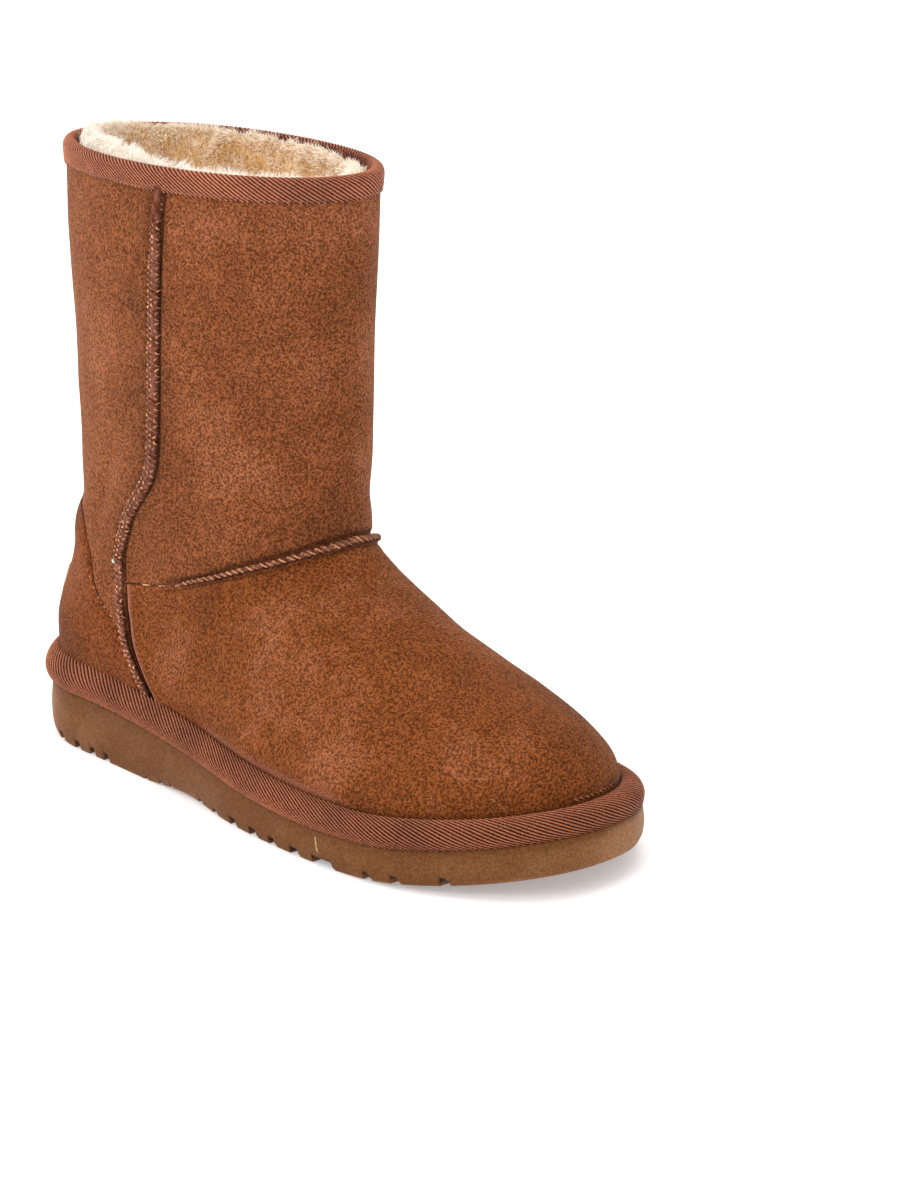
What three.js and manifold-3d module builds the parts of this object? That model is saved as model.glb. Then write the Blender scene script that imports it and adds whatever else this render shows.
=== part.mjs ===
// Sheepskin boot for a right foot, in millimetres.
// X runs from heel to toe, Y towards the wearer's left (the inner side), Z up. The floor is z = 0
// and the origin lies on the floor under the middle of the heel.
import * as THREE from 'three';
import { mergeVertices } from 'three/addons/utils/BufferGeometryUtils.js';
import Module from 'manifold-3d';

// Sole
const outsoleLength = 288;
const ballWidth = 113;
const heelThickness = 23;
const ballThickness = 13.5;
const toeSpring = 10;
const archRise = 2;
const edgeRadius = 1.6;
const sideBulge = 0.9;
const grooveDepth = 2.6;
const grooveWidth = 3.2;

// Upper, its heights measured from the top of the sole at the heel
const instepHeight = 72;
const collarHeight = 214;
const shaftLength = 152;
const shaftWidth = 83;
const shaftSetback = 9.5;
const wall = 3;
const insoleThickness = 4;

// Woven tape rolled along the sole, and folded over the collar
const bindingHeelHeight = 13;
const bindingToeHeight = 9;
const bindingBulge = 2.2;
const tapeWidth = 7.5;
const tapeThickness = 1;

// Overlays on the upper
const counterThickness = 1.2;
const patchWidth = 42;
const patchHeight = 20;
const patchThickness = 1.2;
const patchRise = 22;
const seamWidth = 5;
const seamHeight = 1.8;

// Gap left between two pieces that lie on each other
const clearance = 0.3;

// Plan of the outsole: half widths on each side as shares of the ball width
const solePlan = [
  { along: 0.0, outer: 0.373, inner: 0.373 },
  { along: 0.12, outer: 0.373, inner: 0.373 },
  { along: 0.28, outer: 0.397, inner: 0.347 },
  { along: 0.42, outer: 0.43, inner: 0.335 },
  { along: 0.55, outer: 0.484, inner: 0.385 },
  { along: 0.68, outer: 0.504, inner: 0.466 },
  { along: 0.8, outer: 0.489, inner: 0.491 },
  { along: 0.9, outer: 0.444, inner: 0.486 },
  { along: 1.0, outer: 0.4, inner: 0.46 },
];
const heelRound = { length: 0.15, power: 2.1 };
const toeRound = { length: 0.24, power: 2.15 };

// Places along the sole, as shares of its length
const thinning = { from: 0.18, to: 0.68 };
const springFrom = 0.7;
const arch = { from: 0.29, to: 0.5 };

// Side of the outsole from tread to top: its height as a share of the thickness, and how far it
// stands out of the plan as a share of the side bulge or, at the tread, of the edge radius
const soleSide = [
  { height: 0.0, bulge: 0, edge: -1 },
  { height: 0.07, bulge: 0, edge: -0.25 },
  { height: 0.2, bulge: 0.6, edge: 0 },
  { height: 0.5, bulge: 1, edge: 0 },
  { height: 0.85, bulge: 0.5, edge: 0 },
  { height: 1.0, bulge: 0, edge: 0 },
];

// Tread grooves: centre as a share of the sole's length, width in groove widths
const treadGrooves = [
  { along: 0.1, width: 0.9 },
  { along: 0.145, width: 0.9 },
  { along: 0.18, width: 0.9 },
  { along: 0.213, width: 0.9 },
  { along: 0.519, width: 1.2 },
  { along: 0.565, width: 1.3 },
  { along: 0.606, width: 1.0 },
  { along: 0.652, width: 1.4 },
  { along: 0.705, width: 3.2 },
  { along: 0.782, width: 0.8 },
  { along: 0.823, width: 0.8 },
  { along: 0.883, width: 0.8 },
];

// The heel's reference point lies on the lug between two heel grooves
const heelPoint = outsoleLength * (treadGrooves[1].along + treadGrooves[2].along) / 2;

// Sections of the foot, from the sole upwards. back and front are shares of the sole's length, the
// rises shares of the instep height, outer and inner half widths shares of the ball width. plan is
// how much a section follows the curves of the sole, the rounds are the lengths of its round ends.
const bindingHeelShare = bindingHeelHeight / instepHeight;
const bindingToeShare = bindingToeHeight / instepHeight;
const footSections = [
  { back: 0.017, backRise: 0, front: 0.967, frontRise: 0,
    outer: 0.458, inner: 0.45, backRound: 0.15, frontRound: 0.24, plan: 1 },
  { back: 0.012, backRise: bindingHeelShare, front: 0.97, frontRise: bindingToeShare,
    outer: 0.47, inner: 0.46, backRound: 0.16, frontRound: 0.25, plan: 1 },
  { back: 0.01, backRise: 0.27, front: 0.968, frontRise: 0.23,
    outer: 0.472, inner: 0.456, backRound: 0.17, frontRound: 0.27, plan: 0.95 },
  { back: 0.009, backRise: 0.35, front: 0.952, frontRise: 0.335,
    outer: 0.457, inner: 0.434, backRound: 0.18, frontRound: 0.29, plan: 0.85 },
  { back: 0.011, backRise: 0.43, front: 0.922, frontRise: 0.45,
    outer: 0.43, inner: 0.404, backRound: 0.2, frontRound: 0.32, plan: 0.7 },
  { back: 0.018, backRise: 0.51, front: 0.876, frontRise: 0.55,
    outer: 0.4, inner: 0.373, backRound: 0.22, frontRound: 0.35, plan: 0.5 },
  { back: 0.027, backRise: 0.59, front: 0.804, frontRise: 0.645,
    outer: 0.375, inner: 0.35, backRound: 0.24, frontRound: 0.4, plan: 0.3 },
  { back: 0.036, backRise: 0.67, front: 0.719, frontRise: 0.75,
    outer: 0.356, inner: 0.334, backRound: 0.27, frontRound: 0.44, plan: 0.15 },
  { back: 0.042, backRise: 0.77, front: 0.628, frontRise: 0.85,
    outer: 0.344, inner: 0.328, backRound: 0.31, frontRound: 0.48, plan: 0.05 },
  { back: 0.045, backRise: 0.88, front: 0.56, frontRise: 0.96,
    outer: 0.344, inner: 0.328, backRound: 0.35, frontRound: 0.5, plan: 0 },
];

// Sections of the shaft: rise is a share of the way from instep to collar, back and front are shares
// of the shaft's length from its setback, half widths shares of the shaft's width
const tapeEdge = 1 - tapeWidth / (collarHeight - instepHeight);
const shaftSections = [
  { rise: 0.1, back: 0.021, front: 0.966, outer: 0.48, inner: 0.468 },
  { rise: 0.28, back: 0.012, front: 0.966, outer: 0.478, inner: 0.468 },
  { rise: 0.5, back: 0.002, front: 0.974, outer: 0.489, inner: 0.476 },
  { rise: 0.75, back: -0.003, front: 0.988, outer: 0.505, inner: 0.485 },
  { rise: tapeEdge, back: -0.001, front: 0.996, outer: 0.51, inner: 0.49 },
  { rise: 1.0, back: 0, front: 0.996, outer: 0.51, inner: 0.49 },
];
const shaftRound = { back: 0.48, front: 0.52 };
const sectionPower = 2.1;

// Levels count sections from the sole's edge (0) to the collar; turns are degrees around a section
// from the toe (0) over the outer side (90) to the heel (180), negative over the inner side. Over
// the levelling stretch the sections lose the slope of the sole.
const levelling = { from: 4, to: 10 };
const bindingLevel = 1;
const collarLevel = footSections.length + shaftSections.length - 1;
const tapeLevel = collarLevel - 1;

// Side seam, the same on both sides
const sideSeam = [
  { level: 1, turn: 113 },
  { level: 2.5, turn: 116 },
  { level: 4, turn: 118 },
  { level: 6, turn: 117 },
  { level: 8.3, turn: 109 },
  { level: 9.6, turn: 99 },
  { level: 10.4, turn: 88 },
  { level: 11.5, turn: 84 },
  { level: 12.7, turn: 82 },
  { level: 14, turn: 79 },
];

// Seam over the instep, from its middle to the side seam
const vampSeam = [
  { turn: 0, level: 9.56 },
  { turn: 19, level: 9.45 },
  { turn: 38, level: 9.2 },
  { turn: 57, level: 8.86 },
  { turn: 75, level: 8.3 },
  { turn: 89, level: 7.76 },
  { turn: 107, level: 7.24 },
  { turn: 114, level: 7.1 },
];

// Top edge of the heel counter, from the side seam to the back
const counterTop = [
  { turn: 118, level: 4.2 },
  { turn: 120, level: 4.6 },
  { turn: 124, level: 5.4 },
  { turn: 128, level: 6.6 },
  { turn: 132, level: 8.4 },
  { turn: 139, level: 9.2 },
  { turn: 152, level: 9.45 },
  { turn: 165, level: 9.55 },
  { turn: 180, level: 9.56 },
];

// Section of the tape roll along the sole, from its foot to its top: height as a share of its own
// height, how far it stands out of the sole's plan as a share of its bulge, and how far it has
// leaned over from there to the upper
const bindingRoll = [
  { height: 0, out: 0.3, leaned: 0 },
  { height: 0.18, out: 0.9, leaned: 0 },
  { height: 0.45, out: 1, leaned: 0 },
  { height: 0.75, out: 0.6, leaned: 0.12 },
  { height: 0.94, out: 0.2, leaned: 0.45 },
];

// Section of a raised seam: shares of its width and height; it is sunk by its base, then cut off
const seamSection = [
  { across: -0.5, up: 0.35 },
  { across: -0.3, up: 0.88 },
  { across: 0, up: 1 },
  { across: 0.3, up: 0.88 },
  { across: 0.5, up: 0.35 },
];

// Sampling of the surfaces
const upperTurns = 44;
const soleTurns = 64;
const upperLevelStep = 0.5;
const liningLevelStep = 1;
const tapeLevelStep = 1;
const seamSteps = 26;
const backSeamSteps = 8;

// Height of the tape's fold at the faces of the wall, as a share of its height over the rim
const rimRound = 0.8;

const { clamp, lerp, degToRad } = THREE.MathUtils;

// Smooth curve through one column of a table, read at any value of its key column
function through(table, key, column) {
  const at = table.map((row) => row[key]);
  const value = table.map((row) => row[column]);
  const last = table.length - 1;
  const slope = value.map((_, i) => {
    const before = Math.max(i - 1, 0);
    const after = Math.min(i + 1, last);
    return (value[after] - value[before]) / (at[after] - at[before]);
  });
  return (place) => {
    const inside = clamp(place, at[0], at[last]);
    let i = 0;
    while (i < last - 1 && inside > at[i + 1]) {
      i += 1;
    }
    const span = at[i + 1] - at[i];
    const t = (inside - at[i]) / span;
    const rise = value[i] * (1 + 2 * t) * (1 - t) ** 2 + value[i + 1] * t * t * (3 - 2 * t);
    return rise + span * t * (1 - t) * (slope[i] * (1 - t) - slope[i + 1] * t);
  };
}

function smooth(t) {
  const inside = clamp(t, 0, 1);
  return inside * inside * (3 - 2 * inside);
}

// Round end of an outline: 0 at the tip, 1 where the round is over
function roundEnd(t, power) {
  return (1 - (1 - clamp(t, 0, 1)) ** power) ** (1 / power);
}

// Share of the way from the back (0) to the front (1) of an outline at a turn
function alongAt(turn) {
  return (1 + Math.cos(degToRad(turn))) / 2;
}

function isOuter(turn) {
  return Math.sin(degToRad(turn)) >= 0;
}

const planOuter = through(solePlan, 'along', 'outer');
const planInner = through(solePlan, 'along', 'inner');

// Heights of the tread and of the top of the sole at a place along it
function treadHeight(x) {
  const share = x / outsoleLength;
  const spring = toeSpring * clamp((share - springFrom) / (1 - springFrom), 0, 1) ** 2;
  const archShare = clamp((share - arch.from) / (arch.to - arch.from), 0, 1);
  return spring + archRise * Math.sin(Math.PI * archShare) ** 2;
}

function soleTop(x) {
  const share = x / outsoleLength;
  const spring = toeSpring * clamp((share - springFrom) / (1 - springFrom), 0, 1) ** 2;
  const thin = smooth((share - thinning.from) / (thinning.to - thinning.from));
  return lerp(heelThickness, ballThickness, thin) + spring;
}

// Point of the sole's plan at a turn, moved out by grow
function planPoint(turn, grow) {
  const along = alongAt(turn);
  const half = (isOuter(turn) ? planOuter(along) : planInner(along)) * ballWidth + grow;
  const round = roundEnd(along / heelRound.length, heelRound.power)
    * roundEnd((1 - along) / toeRound.length, toeRound.power);
  const x = -grow + along * (outsoleLength + 2 * grow);
  return new THREE.Vector3(x, half * round * (isOuter(turn) ? -1 : 1), 0);
}

// The sections in millimetres, one table for foot and shaft
const sections = [
  ...footSections.map((row) => ({
    back: row.back * outsoleLength,
    front: row.front * outsoleLength,
    backRise: row.backRise * instepHeight,
    frontRise: row.frontRise * instepHeight,
    outer: row.outer * ballWidth,
    inner: row.inner * ballWidth,
    backRound: row.backRound,
    frontRound: row.frontRound,
    plan: row.plan,
  })),
  ...shaftSections.map((row) => ({
    back: shaftSetback + row.back * shaftLength,
    front: shaftSetback + row.front * shaftLength,
    backRise: lerp(instepHeight, collarHeight, row.rise),
    frontRise: lerp(instepHeight, collarHeight, row.rise),
    outer: row.outer * shaftWidth,
    inner: row.inner * shaftWidth,
    backRound: shaftRound.back,
    frontRound: shaftRound.front,
    plan: 0,
  })),
].map((row, level) => ({
  ...row,
  level,
  flat: smooth((level - levelling.from) / (levelling.to - levelling.from)),
}));

const sectionColumns = [
  'back', 'front', 'backRise', 'frontRise', 'outer', 'inner', 'backRound', 'frontRound', 'plan', 'flat',
];
const sectionCurves = Object.fromEntries(
  sectionColumns.map((column) => [column, through(sections, 'level', column)]),
);

function sectionAt(level) {
  return Object.fromEntries(sectionColumns.map((column) => [column, sectionCurves[column](level)]));
}

// Height of a section above the floor at a place along the boot
function sectionHeight(section, x) {
  const along = (x - section.back) / (section.front - section.back);
  const base = lerp(soleTop(x), heelThickness, section.flat) + clearance;
  return base + lerp(section.backRise, section.frontRise, along);
}

// Point of the upper's outer face
function skin(level, turn) {
  const section = sectionAt(level);
  const along = alongAt(turn);
  const planShare = (isOuter(turn) ? planOuter(along) : planInner(along)) * 2;
  const half = (isOuter(turn) ? section.outer : section.inner) * lerp(1, planShare, section.plan);
  const round = roundEnd(along / section.backRound, sectionPower)
    * roundEnd((1 - along) / section.frontRound, sectionPower);
  const x = lerp(section.back, section.front, along);
  return new THREE.Vector3(x, half * round * (isOuter(turn) ? -1 : 1), sectionHeight(section, x));
}

// Outward direction of the upper at a point, from its neighbours
function skinNormal(level, turn) {
  const turnStep = 180 / upperTurns;
  const levelStep = upperLevelStep / 2;
  const around = skin(level, turn + turnStep).sub(skin(level, turn - turnStep));
  const up = skin(Math.min(level + levelStep, collarLevel), turn)
    .sub(skin(Math.max(level - levelStep, 0), turn));
  return up.cross(around).normalize();
}

function skinOffset(level, turn, distance) {
  return skin(level, turn).addScaledVector(skinNormal(level, turn), distance);
}

function turnsAround(count) {
  return Array.from({ length: count }, (_, i) => (360 * i) / count);
}

function levelsBetween(from, to, step) {
  const count = Math.ceil((to - from) / step);
  return Array.from({ length: count + 1 }, (_, i) => lerp(from, to, i / count));
}

function skinRing(level, distance, lift = 0) {
  return turnsAround(upperTurns).map((turn) => {
    const point = skinOffset(level, turn, distance);
    point.z += lift;
    return point;
  });
}

// Closed body from triangles over a list of points, turned so that its faces look outwards
function closedBody(points, triangles) {
  const volume = triangles.reduce((sum, [a, b, c]) => (
    sum + points[a].dot(points[b].clone().cross(points[c]))
  ), 0);
  const outward = volume > 0 ? triangles : triangles.map(([a, b, c]) => [a, c, b]);
  const geometry = new THREE.BufferGeometry();
  const numbers = points.flatMap((point) => point.toArray());
  geometry.setAttribute('position', new THREE.Float32BufferAttribute(numbers, 3));
  geometry.setIndex(outward.flat());
  return geometry;
}

// Skin between neighbouring rings of equal length; with join the last ring meets the first
function ringFaces(ringCount, size, join) {
  const triangles = [];
  for (let ring = 0; ring < ringCount - (join ? 0 : 1); ring += 1) {
    const here = ring * size;
    const next = ((ring + 1) % ringCount) * size;
    for (let i = 0; i < size; i += 1) {
      const j = (i + 1) % size;
      triangles.push([here + i, here + j, next + j], [here + i, next + j, next + i]);
    }
  }
  return triangles;
}

// Body like a bent pipe wall: the rings run once around its section
function hoopBody(rings) {
  return closedBody(rings.flat(), ringFaces(rings.length, rings[0].length, true));
}

// Filled body between a bottom and a top ring, whose ends are closed by strips across the boot
function filledBody(rings) {
  const size = rings[0].length;
  const triangles = ringFaces(rings.length, size, false);
  [0, rings.length - 1].forEach((ring) => {
    const cap = [];
    for (let i = 0; i < size / 2; i += 1) {
      const a = ring * size + i;
      const b = ring * size + i + 1;
      const c = ring * size + ((size - i - 1) % size);
      const d = ring * size + ((size - i) % size);
      if (b !== c) {
        cap.push([a, c, b]);
      }
      if (a !== d) {
        cap.push([a, d, c]);
      }
    }
    triangles.push(...(ring === 0 ? cap : cap.map(([p, q, r]) => [p, r, q])));
  });
  return closedBody(rings.flat(), triangles);
}

// Bar through small convex rings, its two ends closed by fans
function barBody(rings) {
  const size = rings[0].length;
  const last = (rings.length - 1) * size;
  const triangles = ringFaces(rings.length, size, false);
  for (let i = 1; i < size - 1; i += 1) {
    triangles.push([0, i + 1, i], [last, last + i, last + i + 1]);
  }
  return closedBody(rings.flat(), triangles);
}

// Cutting and joining of closed bodies
const wasm = await Module();
wasm.setup();

function toManifold(geometry) {
  const bare = geometry.clone();
  bare.deleteAttribute('normal');
  bare.deleteAttribute('uv');
  const merged = mergeVertices(bare);
  return new wasm.Manifold(new wasm.Mesh({
    numProp: 3,
    vertProperties: new Float32Array(merged.attributes.position.array),
    triVerts: new Uint32Array(merged.index.array),
  }));
}

function toGeometry(manifold) {
  const mesh = manifold.getMesh();
  const geometry = new THREE.BufferGeometry();
  geometry.setAttribute('position', new THREE.BufferAttribute(new Float32Array(mesh.vertProperties), 3));
  geometry.setIndex(new THREE.BufferAttribute(new Uint32Array(mesh.triVerts), 1));
  return geometry;
}

// The whole boot as a filled form, its face moved out by distance
function bootForm(distance) {
  const levels = levelsBetween(0, collarLevel, upperLevelStep);
  return toManifold(filledBody(levels.map((level) => skinRing(level, distance))));
}

function makeOutsole() {
  const rings = soleSide.map((row) => turnsAround(soleTurns).map((turn) => {
    const point = planPoint(turn, row.bulge * sideBulge + row.edge * edgeRadius);
    point.z = lerp(treadHeight(point.x), soleTop(point.x), row.height);
    return point;
  }));
  let sole = toManifold(filledBody(rings));
  treadGrooves.forEach((groove) => {
    const x = groove.along * outsoleLength;
    const height = 2 * (grooveDepth + treadHeight(x));
    const cutter = new THREE.BoxGeometry(groove.width * grooveWidth, 2 * ballWidth, height);
    cutter.translate(x, 0, 0);
    sole = sole.subtract(toManifold(cutter));
  });
  return toGeometry(sole);
}

function makeInsole() {
  const rim = skinRing(0, -wall - clearance);
  const at = (rise) => rim.map((point) => new THREE.Vector3(point.x, point.y, soleTop(point.x) + rise));
  return filledBody([at(clearance), at(clearance + insoleThickness)]);
}

function makeUpper() {
  const outside = levelsBetween(0, collarLevel, upperLevelStep).map((level) => skinRing(level, 0));
  const inside = levelsBetween(0, collarLevel, liningLevelStep).map((level) => skinRing(level, -wall));
  return hoopBody([...outside, ...inside.reverse()]);
}

// Roll of tape: flat on the sole, bulging past its edge, closing on the upper at its top
function makeSoleBinding() {
  const top = sectionAt(bindingLevel);
  const outside = bindingRoll.map((row) => turnsAround(upperTurns).map((turn) => {
    const edge = planPoint(turn, row.out * bindingBulge);
    const point = edge.lerp(skinOffset(bindingLevel, turn, clearance), row.leaned);
    const foot = soleTop(point.x) + clearance;
    point.z = lerp(foot, sectionHeight(top, point.x), row.height);
    return point;
  }));
  const inside = levelsBetween(0, bindingLevel, upperLevelStep).map((level) => skinRing(level, clearance));
  return hoopBody([...outside, ...inside.reverse()]);
}

// Tape folded over the rim of the shaft
function makeCollarBinding() {
  const out = clearance + tapeThickness;
  const inner = -wall - clearance;
  const levels = levelsBetween(tapeLevel, collarLevel, tapeLevelStep);
  const liftAt = (level) => (level === collarLevel ? clearance : 0);
  return hoopBody([
    ...levels.map((level) => skinRing(level, out)),
    skinRing(collarLevel, clearance, out * rimRound),
    skinRing(collarLevel, -wall / 2, out),
    skinRing(collarLevel, inner, out * rimRound),
    ...levels.toReversed().map((level) => skinRing(level, inner - tapeThickness)),
    ...levels.map((level) => skinRing(level, inner, liftAt(level))),
    ...levels.toReversed().map((level) => skinRing(level, clearance, liftAt(level))),
  ]);
}

// Raised seam along a path on the upper, given as level and turn at a share of its length
function seamBar(pathAt, steps, extraWidth = 0, extraHeight = 0) {
  const sunk = wall / 2;
  const rings = Array.from({ length: steps + 1 }, (_, i) => {
    const share = i / steps;
    const here = pathAt(share);
    const before = pathAt(Math.max(share - 1 / steps, 0));
    const after = pathAt(Math.min(share + 1 / steps, 1));
    const point = skin(here.level, here.turn);
    const up = skinNormal(here.level, here.turn);
    const along = skin(after.level, after.turn).sub(skin(before.level, before.turn)).normalize();
    const side = along.cross(up).normalize();
    const width = seamWidth + extraWidth;
    const place = (across, rise) => (
      point.clone().addScaledVector(side, across * width).addScaledVector(up, rise)
    );
    const top = clearance + seamHeight + extraHeight;
    return [
      place(-0.5, -sunk),
      ...seamSection.map((row) => place(row.across, row.up * top)),
      place(0.5, -sunk),
    ];
  });
  return toManifold(barBody(rings));
}

const sideTurn = through(sideSeam, 'level', 'turn');
const vampLevel = through(vampSeam, 'turn', 'level');
const vampEnd = vampSeam[vampSeam.length - 1].turn;
const counterBack = counterTop[counterTop.length - 1];

function sidePath(sign) {
  return (share) => {
    const level = lerp(bindingLevel, tapeLevel, share);
    return { level, turn: sign * sideTurn(level) };
  };
}

function vampPath(share) {
  const turn = lerp(vampEnd, -vampEnd, share);
  return { turn, level: vampLevel(Math.abs(turn)) };
}

function backPath(share) {
  return { level: lerp(counterBack.level - 1, tapeLevel, share), turn: counterBack.turn };
}

// How far the cutting blocks reach past the boot
const reach = ballWidth / 4;

// Room kept free for the tape along the sole
function bindingRoom() {
  const top = sectionAt(bindingLevel);
  const around = (heightAt) => turnsAround(upperTurns).map((turn) => {
    const point = planPoint(turn, reach);
    point.z = heightAt(point.x);
    return point;
  });
  const floor = around(() => -heelThickness);
  const roof = around((x) => sectionHeight(top, x) + clearance);
  return toManifold(filledBody([floor, roof]));
}

// Room kept free for the tape over the collar
function collarRoom() {
  const edge = heelThickness + collarHeight - tapeWidth;
  const box = new THREE.BoxGeometry(2 * outsoleLength, 2 * ballWidth, 2 * tapeWidth);
  box.translate(outsoleLength / 2, 0, edge + tapeWidth);
  return toManifold(box);
}

// Block through the boot behind the side seams and below the counter's top edge
function counterBlock(lift = 0) {
  const edge = [
    ...levelsBetween(0, counterTop[0].level, upperLevelStep).map((level) => skin(level, sideTurn(level))),
    ...counterTop.map((row) => skin(row.level, row.turn)),
  ];
  const shape = new THREE.Shape([
    new THREE.Vector2(-reach, 0),
    new THREE.Vector2(edge[0].x, 0),
    ...edge.map((point) => new THREE.Vector2(point.x, point.z + lift)),
    new THREE.Vector2(-reach, edge[edge.length - 1].z + lift),
  ]);
  const block = new THREE.ExtrudeGeometry(shape, { depth: 2 * ballWidth, bevelEnabled: false });
  block.rotateX(Math.PI / 2);
  block.translate(0, ballWidth, 0);
  return toManifold(block);
}

function patchBlock() {
  const block = new THREE.BoxGeometry(2 * reach, patchWidth, patchHeight);
  block.translate(0, 0, heelThickness + patchRise + patchHeight / 2);
  return toManifold(block);
}

// Overlays, each cut between forms of the boot that differ by its thickness
function makeOverlays() {
  const body = bootForm(clearance);
  const bindings = bindingRoom().add(collarRoom());
  const gap = 2 * clearance;
  const sides = [1, -1].map((sign) => seamBar(sidePath(sign), seamSteps));
  const sideRoom = [1, -1].map((sign) => seamBar(sidePath(sign), seamSteps, gap, seamHeight));
  const shell = bootForm(clearance + counterThickness).subtract(body);
  const counter = shell.intersect(counterBlock()).subtract(bindings);
  const patchUnder = 2 * clearance + counterThickness;
  const patch = bootForm(patchUnder + patchThickness).subtract(bootForm(patchUnder));
  const bare = (bar) => toGeometry(bar.subtract(body).subtract(bindings));
  return {
    heel_counter: toGeometry(counter.subtract(sideRoom[0]).subtract(sideRoom[1])),
    heel_patch: toGeometry(patch.intersect(patchBlock())),
    seam_outer: bare(sides[0]),
    seam_inner: bare(sides[1]),
    seam_back: bare(seamBar(backPath, backSeamSteps).subtract(counterBlock(clearance))),
    seam_vamp: bare(seamBar(vampPath, seamSteps).subtract(sideRoom[0]).subtract(sideRoom[1])),
  };
}

const finishes = {
  suede: { color: 0x9a5733, roughness: 0.95, metalness: 0 },
  counterSuede: { color: 0x93502c, roughness: 0.95, metalness: 0 },
  seamThread: { color: 0xa8694a, roughness: 0.85, metalness: 0 },
  tape: { color: 0x9a5f4a, roughness: 0.85, metalness: 0 },
  rubber: { color: 0x7b5a41, roughness: 0.6, metalness: 0 },
  fleece: { color: 0xdcc6a0, roughness: 1, metalness: 0 },
  leather: { color: 0xdcb694, roughness: 0.6, metalness: 0 },
};

const boot = new THREE.Group();
boot.position.x = -heelPoint;

function addPiece(name, geometry, finish) {
  const mesh = new THREE.Mesh(geometry, new THREE.MeshStandardMaterial(finishes[finish]));
  mesh.name = name;
  boot.add(mesh);
}

addPiece('outsole', makeOutsole(), 'rubber');
addPiece('insole', makeInsole(), 'fleece');
addPiece('upper', makeUpper(), 'suede');
addPiece('sole_binding', makeSoleBinding(), 'tape');
addPiece('collar_binding', makeCollarBinding(), 'tape');

const overlays = makeOverlays();
addPiece('heel_counter', overlays.heel_counter, 'counterSuede');
addPiece('heel_patch', overlays.heel_patch, 'leather');
addPiece('seam_outer', overlays.seam_outer, 'seamThread');
addPiece('seam_inner', overlays.seam_inner, 'seamThread');
addPiece('seam_back', overlays.seam_back, 'seamThread');
addPiece('seam_vamp', overlays.seam_vamp, 'seamThread');

const group = new THREE.Group();
group.add(boot);

export default group;
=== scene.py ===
"""Looks of a right sheepskin boot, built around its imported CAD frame.

All shapes are worked out in millimetres with x counted from the heel end of the sole, y towards the
inner side and z up from the floor, and are put into the frame in metres at the end. A place on the
upper is given by a level (0 at the sole, 15 at the collar) and a turn in degrees (0 at the toe, 90 on
the outer side, 180 at the heel), as in the CAD source.
"""
from __future__ import annotations

import logging
import math
from dataclasses import dataclass
from enum import Enum
from typing import Callable

import bmesh
import bpy
import numpy as np
from mathutils import Matrix, Vector


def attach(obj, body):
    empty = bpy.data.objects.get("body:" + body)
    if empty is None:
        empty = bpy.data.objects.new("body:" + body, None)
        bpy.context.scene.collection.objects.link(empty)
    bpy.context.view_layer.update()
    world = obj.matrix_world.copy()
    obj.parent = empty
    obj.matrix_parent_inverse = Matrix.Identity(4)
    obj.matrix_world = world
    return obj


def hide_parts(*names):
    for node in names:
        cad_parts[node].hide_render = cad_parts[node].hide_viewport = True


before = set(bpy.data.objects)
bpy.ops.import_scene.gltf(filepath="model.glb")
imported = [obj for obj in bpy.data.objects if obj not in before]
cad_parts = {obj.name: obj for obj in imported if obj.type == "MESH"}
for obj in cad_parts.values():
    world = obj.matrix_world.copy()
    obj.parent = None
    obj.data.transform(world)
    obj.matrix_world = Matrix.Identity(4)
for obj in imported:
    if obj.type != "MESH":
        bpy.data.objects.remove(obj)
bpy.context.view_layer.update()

log = logging.getLogger("sheepskin_boot")

MM = 0.001
Array = np.ndarray
Numbers = np.ndarray | float
Pair = tuple[np.ndarray, np.ndarray]
Colour = tuple[float, float, float]
Path = Callable[[Array], Pair]
Material = bpy.types.Material
Node = bpy.types.Node
Socket = bpy.types.NodeSocket


class Side(Enum):
    """Sides of the boot, as the sign of a turn."""

    OUTER = 1
    INNER = -1


# Numbers and small functions


class Table:
    """Smooth curves through the columns of a short table, read at any value of its first column."""

    def __init__(self, names: str, *rows: tuple[float, ...]) -> None:
        """Keeps the columns and works out their slopes.

        Args:
            names: Column names, the key column first.
            rows: One tuple of numbers for each row.
        """
        data = np.array(rows, float)
        self.keys = data[:, 0]
        self.columns = dict(zip(names.split()[1:], data[:, 1:].T))
        after = np.minimum(np.arange(len(data)) + 1, len(data) - 1)
        before = np.maximum(np.arange(len(data)) - 1, 0)
        span = self.keys[after] - self.keys[before]
        self.slopes = {name: (column[after] - column[before]) / span
                       for name, column in self.columns.items()}

    def read(self, name: str, key: Numbers) -> Array:
        """Reads one column: a cubic between neighbours whose slopes follow the rows on either side.

        Args:
            name: Column to read.
            key: Places on the key column; outside it the nearest end counts.

        Returns:
            The column's values there.
        """
        inside = np.clip(key, self.keys[0], self.keys[-1])
        i = np.searchsorted(self.keys[1:-1], inside, side="left")
        span = self.keys[i + 1] - self.keys[i]
        t = (inside - self.keys[i]) / span
        column, slope = self.columns[name], self.slopes[name]
        ends = column[i] * (1 + 2 * t) * (1 - t) ** 2 + column[i + 1] * t * t * (3 - 2 * t)
        return ends + span * t * (1 - t) * (slope[i] * (1 - t) - slope[i + 1] * t)


def mix(a: Numbers, b: Numbers, share: Numbers) -> Array:
    """Goes from a at share 0 to b at share 1 in a straight line."""
    return a + (b - a) * share


def wrap(turn: Array) -> Array:
    """Brings turns into the range from -180 to 180 degrees."""
    return (turn + 180) % 360 - 180


def smooth(t: Numbers) -> Array:
    """Goes from 0 to 1 with level ends, three times the square less twice the cube."""
    inside = np.clip(t, 0.0, 1.0)
    return inside * inside * (3.0 - 2.0 * inside)


def round_end(t: Array, power: float) -> Array:
    """Round end of an outline: the quarter of a superellipse, 0 at its tip and 1 where it is over."""
    return (1.0 - (1.0 - np.clip(t, 0.0, 1.0)) ** power) ** (1.0 / power)


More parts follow.
